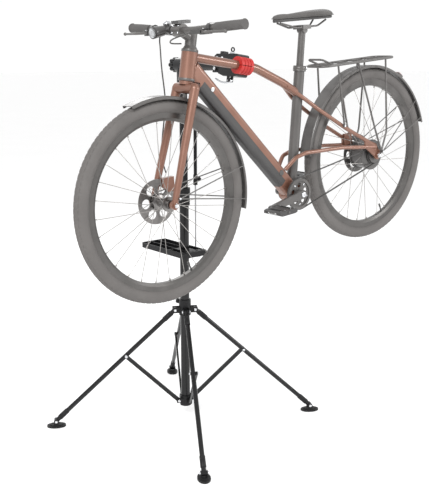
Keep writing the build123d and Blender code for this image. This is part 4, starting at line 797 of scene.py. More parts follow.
# ---- Stand ----
@dataclass
class FoldingBase(Kit):
    """The bolts of the sliding hub, the legs, the struts and the feet, and the legs' end sleeves."""

    pivot_out: float = 42.0
    pivot_up: float = 488.0
    foot_out: float = 548.0
    foot_up: float = 24.0
    base_out: float = 30.0
    base_up: float = 88.0
    knee_share: float = 0.41
    leg_radius: float = 9.5
    ear_face: float = 13.75
    base_face: float = 22.35
    knee_bolt_face: float = 18.1
    knee_nut_face: float = -11.4

    def build(self) -> None:
        """Builds every leg's sleeves and bolts."""
        hub, base = Piece("leg_pivot_bolts"), Piece("base_hub_bolts")
        for number in range(1, 5):
            axes = self.layout.leg(number)
            hub.screws(
                Screw.BUTTON,
                [self._across(axes, self.pivot_out, self.pivot_up, side * self.ear_face) for side in (-1, 1)],
            )
            base.screws(Screw.BUTTON, [self._across(axes, self.base_out, self.base_up, self.base_face)])
            self._leg(number, axes)
        self.bolts(hub, "leg_hub")
        self.bolts(base, "mast")

    @staticmethod
    def _across(axes: Axes, out: float, up: float, across: float) -> Axes:
        """Returns axes for a bolt head on a leg's side, pointing away from the leg's middle plane."""
        return axes.aimed((out, across, up), (0, math.copysign(1, across), 0))

    def _leg(self, number: int, axes: Axes) -> None:
        """Builds one leg's end sleeves, and the bolts at its knee and foot."""
        run = np.array([self.foot_out - self.pivot_out, 0, self.foot_up - self.pivot_up])
        length = float(np.linalg.norm(run))
        tube = axes.aimed((self.pivot_out, 0, self.pivot_up), run)
        r = self.leg_radius
        sleeves = Piece(f"leg_{number}_sleeves")
        for low, high in ((19, 62), (length - 66, length - 21)):
            sleeves.add(Shape.lathe(tube, self._sleeve(low, high, r), 36), close_u=True)
        sleeves.build(f"leg_{number}", "stand_plastic", self.paints[Paint.STAND_MOULDED])
        out = self.pivot_out + self.knee_share * run[0]
        up = self.pivot_up + self.knee_share * run[2]
        bolt, nut = (self._across(axes, out, up, face) for face in (self.knee_bolt_face, self.knee_nut_face))
        knee = Piece(f"knee_bolt_{number}").screws(Screw.BUTTON, [bolt])
        self.bolts(knee, f"strut_{number}")
        back = Piece(f"knee_nut_{number}").screws(Screw.DOME_NUT, [nut], 0.8, 6)
        self.bolts(back, f"leg_{number}")
        places = [self._across(axes, self.foot_out, self.foot_up, side * self.ear_face) for side in (-1, 1)]
        foot = Piece(f"foot_bolt_{number}").screws(Screw.BUTTON, places)
        self.bolts(foot, f"foot_{number}")

    @staticmethod
    def _sleeve(low: float, high: float, r: float) -> list[tuple[float, float]]:
        """Returns a closed sleeve profile over a tube, with softened ends and two grip grooves."""
        wall = [(r + 0.1, low), (r + 1.2, low), (r + 1.9, low + 1.2)]
        for at in (low + 8, low + 13):
            wall += [(r + 1.9, at - 1.2), (r + 1.2, at), (r + 1.9, at + 1.2)]
        return wall + [(r + 1.9, high - 1.2), (r + 1.2, high), (r + 0.1, high)]


@dataclass
class Mast(Kit):
    """The mast's collar trims, the tray's rolled lip, the head's screws and the arm's rings."""

    collar_radius: float = 23.0
    collar_low: float = 930.0
    tray_radius: float = 2.0
    arm_up: float = 1485.0
    knob_face: float = 56.2
    socket_screw: Point = (30.0, -19.8, 1408.0)
    rod_lug: Point = (72.0, 26.4, 1462.0)

    def build(self) -> None:
        """Builds the trims from the tray up to the arm."""
        self._collar()
        self._tray_lip()
        self._head()

    def _collar(self) -> None:
        """Builds raised rings round the collar, and a pad on its lever."""
        r, bands = self.collar_radius, Piece("collar_bands")
        for at in (self.collar_low + 5, self.collar_low + 12, self.collar_low + 19):
            ring = [
                (r - 0.3, at - 1.6), (r + 0.8, at - 1.4), (r + 1.2, at), (r + 0.8, at + 1.4),
                (r - 0.3, at + 1.6),
            ]
            bands.add(Shape.lathe(self.layout.mast, ring, 60), close_u=True)
        bands.build("mast", "stand_plastic", self.paints[Paint.STAND_MOULDED])
        axis = self.layout.place("collar_lever_turn")
        low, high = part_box("collar_lever")
        out = axis - self.layout.mast.origin
        out[2] = 0
        out /= np.linalg.norm(out)
        side = np.array([-out[1], out[0], 0.0])
        middle = (low.z + high.z) / 2
        s = np.linspace(0.006, 0.05, 22)
        swell = np.sin(np.pi * np.clip((s - 0.006) / 0.044, 0, 1)) ** 0.5
        path = np.array([axis[0], axis[1], middle]) + s[:, None] * side + (
            0.0005 + 0.004 * (s / 0.05) ** 2
        )[:, None] * out
        grid = Shape.sweep(path, out, 0.0034 * swell + 0.0002, 0.0052 * swell + 0.0002, 20)
        Piece("collar_lever_grip").add(grid, caps=True).build(
            "collar_lever", "stand_plastic", self.paints[Paint.STAND_MOULDED]
        )

    def _tray_lip(self) -> None:
        """Builds a rolled lip round the tray's rim: a rounded rectangle's line carried round."""
        low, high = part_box("tool_tray")
        r = 5 * MM
        inset = 0.6 * MM
        half = np.array([(high.x - low.x) / 2 - inset, (high.y - low.y) / 2 - inset])
        turn = np.linspace(0, 2 * np.pi, 240, endpoint=False) + 0.01
        c, s = np.cos(turn), np.sin(turn)
        corner = np.stack([np.sign(c), np.sign(s)], axis=-1) * (half - r)
        arc = np.stack([np.sign(c) * np.abs(c) ** 0.35, np.sign(s) * np.abs(s) ** 0.35], axis=-1)
        arc /= np.linalg.norm(arc, axis=1, keepdims=True)
        flat = corner + r * arc
        order = np.argsort(np.arctan2(flat[:, 1], flat[:, 0]))
        flat = flat[order] + np.array([(high.x + low.x) / 2, (high.y + low.y) / 2])
        path = np.column_stack([flat, np.full(len(flat), high.z - 1.2 * MM)])
        Piece("tray_lip").add(Shape.bead(path, self.tray_radius, 10), close_u=True).build(
            "mast", "stand_plastic", self.paints[Paint.STAND_MOULDED]
        )

    def _head(self) -> None:
        """Builds the head's clamp screws, the knob's cap, the arm's rings and the rod's pivot nut."""
        mast = self.layout.mast
        out, back, up = self.socket_screw
        places = [mast.aimed((out, back, up + lift), (0, -1, 0)) for lift in (12, 34)]
        self.bolts(Piece("head_clamp_screws").screws(Screw.BUTTON, places), "upper_mast")
        knob = mast.aimed((0, self.knob_face, self.arm_up), (0, 1, 0))
        cap = [(0, 0), (16, 0), (16, 1.0), (14.5, 2.6), (10, 4.2), (5, 5.0), (0, 5.2)]
        Piece("head_knob_cap").add(Shape.lathe(knob, cap, 48)).build(
            "head_knob", "stand_plastic", self.paints[Paint.STAND_MOULDED]
        )
        seat = mast.aimed((0, 0, self.arm_up), (0, -1, 0))
        rings = Piece("arm_rings")
        for at, r in ((52, 21.75), (58, 21.6), (212, 18.45)):
            band = [
                (r - 0.2, at - 2), (r + 0.7, at - 1.8), (r + 1.1, at), (r + 0.7, at + 1.8), (r - 0.2, at + 2)
            ]
            rings.add(Shape.lathe(seat, band, 56), close_u=True)
        rings.build("clamp", "stand_black", self.paints[Paint.STAND_BLACK])
        lug = mast.aimed(self.rod_lug, (0, 1, 0))
        self.bolts(Piece("rod_pivot_nut").screws(Screw.DOME_NUT, [lug], 0.8, 6), "upper_mast")


@dataclass
class JawClamp(Kit):
    """The clamp's spindle nut, its screws and the curved quick-release lever."""

    spindle: float = 62.0
    jaw_top: float = 40.0
    cam_up: float = -53.0
    lever_length: float = 82.0
    body_half: float = 27.9
    hinge_half: float = 31.9
    jaw_half: float = 10.9
    hinge: tuple[float, float] = (118.0, -14.0)

    def build(self) -> None:
        """Builds the nut, the screws and the lever."""
        clamp = self.layout.clamp
        nut = clamp.aimed((0, self.spindle, self.jaw_top), (0, 0, 1))
        washer = [(4, 0), (12.5, 0), (12.5, 1.4), (4, 1.4)]
        body = [(4.1, 1.4), (9.6, 1.4), (10.2, 2.2), (10.2, 8.4), (9.6, 9.2), (4.1, 9.2)]
        self.bolts(
            Piece("spindle_nut").add(Shape.lathe(nut, washer, 40), close_u=True).add(
                Shape.lathe(nut, body, 6), close_u=True
            ),
            "clamp",
        )
        backs = (84, 112)
        sides = [
            clamp.aimed((side * self.body_half, back, 24), (side, 0, 0)) for side in (-1, 1) for back in backs
        ]
        sides += [clamp.aimed((side * self.hinge_half, *self.hinge), (side, 0, 0)) for side in (-1, 1)]
        self.bolts(Piece("clamp_screws").screws(Screw.BUTTON, sides), "clamp")
        jaw = [clamp.aimed((side * self.jaw_half, self.spindle, self.cam_up), (side, 0, 0)) for side in (-1, 1)]
        self.bolts(Piece("cam_pin_heads").screws(Screw.SMALL, jaw), "lower_jaw")
        self._lever()

    def _lever(self) -> None:
        """Builds the lever: a cam barrel and a blade that widens and curves, carried along a smooth line."""
        clamp = self.layout.clamp
        start, up = self.spindle, self.cam_up
        line = [
            (0, start, up - 4), (0, start + 18, up - 7.5), (0, start + 42, up - 7), (0, start + 64, up - 1.5),
            (0, start + self.lever_length, up + 6.5),
        ]
        path = clamp.put(Shape.smooth(line, 48))
        s = np.linspace(0, 1, 48)
        wide = (5.2 - 1.2 * np.sin(np.pi * s) + 3.0 * s**3) * np.sqrt(np.clip(1.02 - s**14, 0.02, 1)) * MM
        tall = (4.6 - 2.4 * s + 0.9 * s**3) * np.sqrt(np.clip(1.02 - s**14, 0.02, 1)) * MM
        lever = Piece("quick_release_lever").add(Shape.sweep(path, clamp.basis[0], wide, tall, 24), caps=True)
        barrel = clamp.aimed((0, start, up), (1, 0, 0))
        ring = [(3.2, -5.8), (8.2, -5.8), (8.9, -5.0), (8.9, 5.0), (8.2, 5.8), (3.2, 5.8)]
        lever.add(Shape.lathe(barrel, ring, 36), close_u=True)
        obj = lever.build("jaw_lever", "stand_bolts", self.paints[Paint.LEVER_STEEL])
        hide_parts("jaw_lever")


# ---- Wheels ----
@dataclass
class Wheel(Kit):
    """One wheel's tyre with its tread, the spoke nipples, the valve and the disc's screws."""

    name: str
    axle: float
    disc_across: float
    tyre_radius: float = 356.0
    tyre_half: float = 25.0
    rim_inner: float = 283.0
    rim_outer: float = 311.0
    spokes: int = 28
    lugs: int = 96
    disc_screws: int = 6
    disc_screw_circle: float = 21.0
    valve_turn: float = math.radians(250)

    def build(self) -> None:
        """Builds every piece of the wheel."""
        centre = self.bike.aimed((self.axle, 0, 0), (0, 1, 0))
        self._tyre(centre)
        self._nipples()
        self._valve()
        self._disc()

    def _tyre(self, centre: Axes) -> None:
        """Builds the tyre: a round section turned about the axle, its crown cut by slanted sipes.

        The radius from the section's middle is R - d g(t, a), where g is the sipe pattern, faded past the
        shoulder.
        """
        around = np.linspace(0, 2 * np.pi, 768, endpoint=False)
        ledge = math.acos((self.rim_outer - 1 - self.tyre_radius + self.tyre_half) / self.tyre_half)
        section = np.linspace(-ledge, ledge, 61)
        t, a = np.meshgrid(around, section, indexing="ij")
        lean = np.abs(a) * 1.6
        sipe = np.clip((np.abs(np.sin(self.lugs * t / 2 + lean)) - 0.1) / 0.35, 0, 1)
        rib = np.clip((np.abs(np.sin(a * 5.2)) - 0.12) / 0.3, 0, 1)
        crown = np.clip((1.02 - np.abs(a)) / 0.16, 0, 1)
        cut = 1.9 * crown * (1 - np.minimum(sipe, rib))
        lines = 0.35 * np.clip((np.abs(a) - 1.2) / 0.1, 0, 1) * (0.5 + 0.5 * np.cos(a * 46))
        radius = self.tyre_half - cut - lines - 0.15
        out = self.tyre_radius - self.tyre_half + radius * np.cos(a)
        grid = centre.put(np.stack([out * np.cos(t), out * np.sin(t), radius * np.sin(a)], axis=-1))
        obj = Piece(f"{self.name}_tyre_tread").add(grid, close_u=True).build(
            f"{self.name}_wheel", "tyre", self.paints[Paint.TYRE], 50
        )
        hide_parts(f"{self.name}_tyre")

    def _nipples(self) -> None:
        """Builds the nipples, each a small stepped turning where a spoke meets the rim."""
        piece = Piece(f"{self.name}_nipples")
        profile = [(0, -1), (2.6, -1), (2.6, 1.5), (2.0, 2.2), (1.9, 8.5), (1.3, 9.2), (0, 9.2)]
        for number in range(self.spokes):
            turn = 2 * math.pi * (number + 0.5) / self.spokes + (math.pi / self.spokes)
            spot = (self.axle + self.rim_inner * math.cos(turn), 0, self.rim_inner * math.sin(turn))
            place = self.bike.aimed(spot, (-math.cos(turn), 0, -math.sin(turn)))
            piece.add(Shape.lathe(place, profile, 10))
        piece.build(f"{self.name}_wheel", "spokes", self.paints[Paint.SPOKE])

    def _valve(self) -> None:
        """Builds the valve stem and its capped end, standing in from the rim."""
        turn = self.valve_turn
        spot = (self.axle + (self.rim_inner + 1) * math.cos(turn), 0, (self.rim_inner + 1) * math.sin(turn))
        place = self.bike.aimed(spot, (-math.cos(turn), 0, -math.sin(turn)))
        stem = [
            (0, -2), (5, -2), (5, 1.5), (3, 2.2), (3, 20), (3.9, 21), (4.1, 22), (4.1, 33), (3.4, 35.5),
            (2, 36.5), (0, 36.6),
        ]
        Piece(f"{self.name}_valve").add(Shape.lathe(place, stem, 18)).build(
            f"{self.name}_wheel", "controls", self.paints[Paint.CONTROL]
        )

    def _disc(self) -> None:
        """Builds the screws that hold the disc."""
        bike = self.bike
        places = []
        r = self.disc_screw_circle
        for number in range(self.disc_screws):
            turn = 2 * math.pi * number / self.disc_screws + 0.5
            spot = (self.axle + r * math.cos(turn), self.disc_across - 0.05, r * math.sin(turn))
            places.append(bike.aimed(spot, (0, -1, 0)))
        Piece(f"{self.name}_disc_screws").screws(Screw.SMALL, places).build(
            f"{self.name}_wheel", "disc", self.paints[Paint.BOLT]
        )


# ---- Bicycle frame ----
@dataclass
class BikeFrame(Kit):
    """The frame's weld beads, headset rings, battery fittings, and the screws on frame, rack and fenders."""

    steer_foot: float = WHEELBASE - FORK_OFFSET / math.sin(STEER_ANGLE)
    steer_cot: float = 1 / math.tan(STEER_ANGLE)
    seat_cot: float = 1 / math.tan(SEAT_ANGLE)
    crank: Point = (CRANK_AHEAD, 0.0, CRANK_UP)
    head_radius: float = 28.0
    head_low: float = 402.0
    head_high: float = 506.0
    top_tube_radius: float = 16.0
    top_tube_head: tuple[float, float] = (890.0, 479.0)
    held_point: tuple[float, float] = (662.0, 428.0)
    down_tube_head: tuple[float, float] = (905.0, 440.0)
    down_tube_foot: tuple[float, float] = (464.0, -60.0)
    down_tube_depth: float = 66.0
    down_tube_width: float = 52.0
    seat_collar_radius: float = 24.0
    bracket_half: float = 33.0
    rear_axle_half: float = 73.8

    def steer(self, up: float) -> np.ndarray:
        """Returns the steering axis at a height of the bicycle's axes."""
        return np.array([self.steer_foot - up * self.steer_cot, 0.0, up])

    def seat(self, up: float) -> np.ndarray:
        """Returns the seat tube's axis at a height of the bicycle's axes."""
        return np.array([self.crank[0] - (up - self.crank[2]) * self.seat_cot, 0.0, up])

    @staticmethod
    def middle(point: tuple[float, float]) -> np.ndarray:
        """Returns a point (ahead, up) as one on the frame's middle plane."""
        return np.array([point[0], 0, point[1]])

    def build(self) -> None:
        """Builds every piece that rides with the frame."""
        self._welds()
        self._headset()
        self._battery()
        self._screws()
        self._bracket()

    def _meet(
        self, starts: np.ndarray, along: np.ndarray, foot: np.ndarray, axis: np.ndarray, radius: float,
        sign: float,
    ) -> np.ndarray:
        """Finds where parallel lines meet a round tube: the root of |(p + s d) - axis| = radius.

        Args:
            starts: The lines' starts, one a row.
            along: The lines' direction.
            foot: A point on the round tube's axis.
            axis: That axis's unit direction.
            radius: The tube's radius.
            sign: Which of the two meetings is wanted.

        Returns:
            The meeting points, one a row.
        """
        d = along - (along @ axis) * axis
        p = (starts - foot) - ((starts - foot) @ axis)[:, None] * axis
        a, b, c = d @ d, p @ d, np.sum(p * p, axis=1) - radius**2
        s = (-b + sign * np.sqrt(np.maximum(b * b - a * c, 0))) / a
        return starts + s[:, None] * along

    def _welds(self) -> None:
        """Builds a rippled bead where the top tube and the down tube meet the head tube."""
        bike = self.bike
        up = self.steer(500) - self.steer(0)
        up /= np.linalg.norm(up)
        turn = np.linspace(0, 2 * np.pi, 96, endpoint=False)
        head, held = self.middle(self.top_tube_head), self.middle(self.held_point)
        run = (head - held) / np.linalg.norm(head - held)
        side = np.array([0.0, 1.0, 0.0])
        across = np.cross(run, side)
        r = self.top_tube_radius + 0.6
        starts = held + r * (np.cos(turn)[:, None] * side + np.sin(turn)[:, None] * across)
        top = self._meet(starts, run, self.steer(0), up, self.head_radius + 0.4, -1)
        low, high = self.middle(self.down_tube_foot), self.middle(self.down_tube_head)
        run = (high - low) / np.linalg.norm(high - low)
        across = np.cross(run, side)
        wide, deep = self.oval(self.down_tube_width / 2 + 0.4, self.down_tube_depth / 2 + 0.4, 0.5, 0.5, 96)
        starts = low + wide[:, None] * side + deep[:, None] * across
        down = self._meet(starts, run, self.steer(0), up, self.head_radius + 0.4, -1)
        above = (down - self.steer(self.head_low)) @ up
        down += np.maximum(0, 3.5 - above)[:, None] * up
        piece = Piece("frame_weld_beads")
        for line, radius in ((top, 2.0), (down, 2.2)):
            piece.add(Shape.bead(bike.put(line), radius), close_u=True)
        piece.build("clamp", "frame_copper", self.paints[Paint.FRAME_WELD], 60)

    def _headset(self) -> None:
        """Builds the two bearing cups' rings and the seat clamp's ring."""
        bike, up = self.bike, self.steer(500) - self.steer(0)
        cups = Piece("headset_rings")
        for at, lift in ((self.head_high, -9.0), (self.head_low, 0.0)):
            axes = bike.aimed(self.steer(at), up)
            r = self.head_radius
            ring = [
                (r - 1, lift), (r + 1.1, lift + 0.3), (r + 1.5, lift + 2), (r + 1.5, lift + 7),
                (r + 1.1, lift + 8.7), (r - 1, lift + 9),
            ]
            cups.add(Shape.lathe(axes, ring, 56), close_u=True)
        cups.build("clamp", "bike_grey", self.paints[Paint.BIKE_GREY])
        seat = bike.aimed(self.seat(380), self.seat(500) - self.seat(0))
        r = self.seat_collar_radius
        band = [
            (r - 0.5, 1), (r + 0.9, 1.4), (r + 0.9, 5), (r + 0.2, 6), (r + 0.9, 7), (r + 0.9, 15),
            (r + 0.2, 16), (r + 0.9, 17), (r + 0.9, 19), (r - 0.5, 19.6),
        ]
        collar = Piece("seat_clamp_band").add(Shape.lathe(seat, band, 56), close_u=True)
        collar.build("clamp", "bike_grey", self.paints[Paint.BIKE_GREY])

    def _battery(self) -> None:
        """Builds the battery's lock and its charging port's cover, on one side of the down tube."""
        bike = self.bike
        low, high = self.middle(self.down_tube_foot), self.middle(self.down_tube_head)
        run = (high - low) / np.linalg.norm(high - low)
        below = np.cross(np.array([0.0, 1.0, 0.0]), run) * -1
        if below[2] > 0:
            below = -below
        half = self.down_tube_width / 2
        spot = low + run * 560 - below * 6
        lock = [(0, -0.4), (8, -0.4), (8, 1.0), (7, 1.6), (5.2, 1.6), (5.0, 1.1), (0, 1.1)]
        sides = Piece("battery_lock")
        sides.add(Shape.lathe(bike.aimed(spot + np.array([0, half, 0]), (0, 1, 0)), lock, 32))
        self.bolts(sides, "clamp")
        port = low + run * 90 - below * 8
        cover = [(0, -0.4), (11, -0.4), (11.4, 0.6), (10.6, 1.8), (8, 2.4), (0, 2.6)]
        place = bike.aimed(port + np.array([0, half, 0]), (0, 1, 0))
        self.finish(Piece("charging_cover").add(Shape.lathe(place, cover, 32)), "clamp", "grip", Paint.GRIP)

    def _screws(self) -> None:
        """Builds the screws of the dropouts, the seat clamp, the caliper, the rack and the fender's hanger."""
        bike = self.bike
        spots = [((-12, side * 88.2, 16), (0, side, 0)) for side in (-1, 1)]
        spots += [((198, side * 68.9, 150), (0, side, 0)) for side in (-1, 1)]
        collar = self.seat(390)
        spots += [((collar[0] - 28, side * 7.9, 390), (0, side, 0)) for side in (-1, 1)]
        spots += [((56, -55.1, z), (0, -1, 0)) for z in (53, 83)]
        places = [bike.aimed(spot, way) for spot, way in spots]
        self.bolts(Piece("frame_screws").screws(Screw.BUTTON, places, 0.75), "clamp")
        nuts = [bike.aimed((0, side * self.rear_axle_half, 0), (0, side, 0)) for side in (-1, 1)]
        self.bolts(Piece("rear_axle_nuts").screws(Screw.DOME_NUT, nuts, 1.35, 6), "clamp")

    def _bracket(self) -> None:
        """Builds the bottom bracket's outer rings."""
        rings = Piece("bracket_rings")
        for side in (-1, 1):
            spot = (self.crank[0], side * self.bracket_half, self.crank[2])
            axes = self.bike.aimed(spot, (0, side, 0))
            ring = [(33, 0), (34.6, 0.2), (35, 1.2), (34.6, 2.6), (33, 2.9)]
            rings.add(Shape.lathe(axes, ring, 56), close_u=True)
        rings.build("clamp", "bike_grey", self.paints[Paint.BIKE_GREY])


@dataclass
class RackAndLamps(Kit):
    """The rear lamp's lens and the fenders' rolled edges."""

    fender_radius: float = 364.0
    fender_half: float = 28.0
    lamp_turn: float = math.radians(126)

    def build(self) -> None:
        """Builds the lens and the rolled edges."""
        bike = self.bike
        turn = self.lamp_turn
        r = self.fender_radius + 2.5 + 14
        spot = (r * math.cos(turn), 0, r * math.sin(turn))
        out = (math.cos(turn), 0, math.sin(turn))
        axes = bike.aimed(spot, out)
        u = np.linspace(0, 1, 9)
        x, y = self.oval(15.5, 13.5, 0.4, 0.4, 48)
        shrink = np.sqrt(np.clip(1 - (u * 0.94) ** 3, 0, 1))
        turned = self.facing(axes, bike.basis[1])
        grid = np.stack([shrink[:, None] * y, shrink[:, None] * x, (u * 4.0)[:, None] + 0 * x], axis=-1)
        Piece("tail_lamp_lens").add(turned.put(grid), caps=True).build(
            "clamp", "pad_red", self.paints[Paint.REFLECTOR]
        )
        self._edges("rear_fender_edges", "clamp", 0.0, 8, 166)
        self._edges("front_fender_edges", "steering", WHEELBASE, 72, 194)

    def _edges(self, name: str, body: str, axle: float, start: float, end: float) -> None:
        """Builds the rolled edges of a fender: a small round carried along both sides of its arc."""
        piece = Piece(name)
        turn = np.radians(np.linspace(start + 0.3, end - 0.3, 140))
        r = self.fender_radius - 7.2
        for side in (-1, 1):
            line = np.stack(
                [
                    axle + r * np.cos(turn), np.full_like(turn, side * (self.fender_half - 0.2)),
                    r * np.sin(turn),
                ],
                axis=-1,
            )
            size = np.full(len(turn), 1.5 * MM)
            piece.add(Shape.sweep(self.bike.put(line), self.bike.basis[1], size, size, 10), caps=True)
        piece.build(body, "bike_grey", self.paints[Paint.BIKE_GREY], 60)


# ---- Cockpit ----
@dataclass
class Cockpit(Kit):
    """Grips, screws, lamp, screen and bell on the bar, and the two brake hoses."""

    bar: tuple[float, float] = (936.0, 572.0)
    bar_half: float = 305.0
    bar_back: float = 22.0
    bar_rise: float = 12.0
    grip_length: float = 125.0
    lever_across: float = 158.0
    lever_ahead: float = 34.0
    hose_diameter: float = 4.8

    def at(self, across: float) -> np.ndarray:
        """Returns the bar's axis at a distance from its middle."""
        share = max(abs(across) - 60, 0) / (self.bar_half - 60)
        return np.array([self.bar[0] - share * self.bar_back, across, self.bar[1] + share * self.bar_rise])

    def build(self) -> None:
        """Builds every piece that steers."""
        self._grips()
        self._screws()
        self._lamp()
        self._screen_and_bell()
        self._hoses()

    def _grips(self) -> None:
        """Builds the two grips: r = R + swell + ribs, with a diamond field between two plain bands."""
        piece = Piece("ribbed_grips")
        for side in (-1, 1):
            inner, end = self.at(side * (self.bar_half - self.grip_length)), self.at(side * self.bar_half)
            axes = self.bike.aimed(inner, end - inner)
            length = float(np.linalg.norm(end - inner))
            h = np.linspace(0.2, length, 110)
            turn = np.linspace(0, 2 * np.pi, 56, endpoint=False)
            hh, tt = np.meshgrid(h, turn, indexing="ij")
            swell = 0.9 * np.sin(np.pi * hh / length) - 0.9
            field_ = np.clip((np.minimum(hh - 12, length - 14 - hh)) / 3, 0, 1)
            diamond = np.maximum(np.abs(np.sin(hh * 0.42 + 7 * tt)), np.abs(np.sin(hh * 0.42 - 7 * tt)))
            ribs = 0.35 * (1 - field_) * np.cos(hh * 1.4)
            r = 15.8 + swell + ribs - 0.7 * field_ * (diamond < 0.55)
            grid = axes.put(np.stack([r * np.cos(tt), r * np.sin(tt), hh], axis=-1))
            piece.add(grid, caps=True)
            cap = [
                (15.6, length - 0.1), (17, length + 0.1), (17, length + 2.6), (15.5, length + 3.8),
                (9, length + 4), (8, length + 3.4), (0, length + 3.4),
            ]
            piece.add(Shape.lathe(axes, [(0, length - 0.1), *cap], 48))
        obj = piece.build("steering", "grip", self.paints[Paint.GRIP])
        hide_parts("grips")

    def _screws(self) -> None:
        """Builds the lever pivots' screws, the stem's and the axle's, and the fender's."""
        bike = self.bike
        places = []
        for side in (-1, 1):
            x, _, z = self.at(side * self.lever_across)
            places.append(bike.aimed((x + self.lever_ahead, side * self.lever_across, z - 1.05), (0, 0, 1)))
        self.bolts(Piece("lever_pivot_screws").screws(Screw.SMALL, places, 1.2), "steering")
        x, z = self.bar
        face = [bike.aimed((x + 14.5, y, z + 15.2), (0.3, 0, 1)) for y in (-15, 15)]
        face += [bike.aimed((x + 20.4, y, z - 6), (1, 0, -0.3)) for y in (-16, 16)]
        up = np.array([-1 / math.tan(STEER_ANGLE), 0, 1])
        frame = BikeFrame(self.layout, self.paints)
        face.append(bike.aimed(frame.steer(558), up))
        self.bolts(Piece("stem_screws").screws(Screw.SMALL, face, 1.3), "steering")
        cap = bike.aimed(frame.steer(552), up)
        lid = [(0, -1), (17, -1), (18, 0.4), (18, 3.5), (16.5, 5), (5, 5.6), (0, 5.6)]
        Piece("headset_top_cap").add(Shape.lathe(cap, lid, 48)).build(
            "steering", "bike_grey", self.paints[Paint.BIKE_GREY]
        )
        nuts = [bike.aimed((WHEELBASE, side * 74.8, 0), (0, side, 0)) for side in (-1, 1)]
        eyes = [bike.aimed((1046, side * 77.2, 22), (0, side, 0)) for side in (-1, 1)]
        caliper = [bike.aimed((1012, -49.9, z), (0, -1, 0)) for z in (36, 68)]
        piece = Piece("fork_end_screws").screws(Screw.DOME_NUT, nuts, 1.2, 6)
        self.bolts(piece.screws(Screw.SMALL, eyes, 1.4).screws(Screw.BUTTON, caliper, 0.75), "steering")

    def _lamp(self) -> None:
        """Builds the lamp's bright bowl, its clear lens and the rim that holds them."""
        x, z = self.bar
        axes = self.bike.aimed((x + 77, -48, z - 2.3), (40, 0, -4))
        rim = [(16.6, -1.5), (19.6, -1.5), (20.4, 0.2), (20.0, 2.4), (18.2, 3.0), (16.9, 2.2)]
        Piece("lamp_rim").add(Shape.lathe(axes, rim, 56), close_u=True).build(
            "steering", "controls", self.paints[Paint.CONTROL]
        )
        bowl = [(0, 0.15), (4, 0.2), (9, 0.6), (14, 1.2), (16.8, 1.7), (16.8, 0.05), (0, 0.05)]
        Piece("lamp_bowl").add(Shape.lathe(axes, bowl, 48)).build(
            "steering", "disc", self.paints[Paint.LAMP_BOWL]
        )
        lens = [(0, 1.9), (17.0, 1.9), (17.0, 2.4), (13, 3.4), (7, 4.1), (0, 4.3)]
        Piece("lamp_lens").add(Shape.lathe(axes, lens, 48)).build("steering", "controls", self.paints.clear())

    def _screen_and_bell(self) -> None:
        """Builds the screen's dark face and the bell's dome."""
        x, z = self.bar
        top = z + 15.9 + 5 + 0.3 + 11
        u = np.linspace(0, 1, 6)
        wide, deep = self.oval(24.5, 16.6, 0.3, 0.3, 56)
        shrink = 1 - 0.06 * u**4
        grid = np.stack(
            [x - 9 + shrink[:, None] * wide, shrink[:, None] * deep, top - 0.5 + (1.5 * u)[:, None] + 0 * wide],
            axis=-1,
        )
        Piece("screen_face").add(self.bike.put(grid), caps=True).build(
            "steering", "controls", self.paints[Paint.SCREEN]
        )
        bell = self.bike.aimed((x - 2, -70, z + 22.6), (0, 0, 1))
        dome = [
            (0, 0), (14, 0), (14.6, 1.2), (13.6, 4.5), (10.5, 7.6), (6, 9.4), (2.4, 10), (2.4, 11.2), (0, 11.4)
        ]
        Piece("bell_dome").add(Shape.lathe(bell, dome, 48)).build(
            "steering", "disc", self.paints[Paint.LEVER_STEEL]
        )

    def _hoses(self) -> None:
        """Builds the two brake hoses as smooth curves: one into the headset's cap, one down to the caliper."""
        x, z = self.bar
        short = [
            (x + 14, 95.8, z - 6), (x + 14, 87, z - 6), (x + 42, 52, z - 17), (x + 46, 8, z - 28),
            (x + 30, -20, z - 40), (x + 2, -26, z - 44), (x - 18, -18, z - 45),
        ]
        long_ = [
            (x + 14, -95.8, z - 6), (x + 14, -87, z - 6), (x + 44, -58, z - 24), (x + 55, -42, z - 58),
            (x + 52, -48, z - 100), (x + 43, -59, z - 144),
        ]
        long_ += [
            (x + 32, -70, z - 190), (x + 26, -77, z - 238), (x + 34, -79, z - 290), (x + 48, -79, z - 345),
            (x + 60, -77, z - 400), (x + 66, -70, z - 450), (x + 60, -62, z - 484),
        ]
        for name, route, length in (("hose_to_frame", short, 0.179), ("hose_to_caliper", long_, 0.526)):
            points = self.bike.put(route)
            curve = bpy.data.curves.new(name, "CURVE")
            curve.dimensions = "3D"
            curve.bevel_depth = self.hose_diameter / 2 * MM
            curve.bevel_resolution = 5
            curve.use_fill_caps = True
            spline = curve.splines.new("NURBS")
            spline.points.add(len(points) - 1)
            spline.points.foreach_set("co", np.column_stack([points, np.ones(len(points))]).ravel())
            spline.order_u = 3
            spline.use_endpoint_u = True
            spline.resolution_u = 12
            curve.materials.append(self.paints[Paint.HOSE])
            obj = bpy.data.objects.new(name, curve)
            bpy.context.scene.collection.objects.link(obj)
            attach(obj, "steering")
            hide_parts("brake_hoses")
            tuple(points[0])
            self.hose_diameter * MM
            LOG.info("%s: hose of %.3f m on steering", name, length)


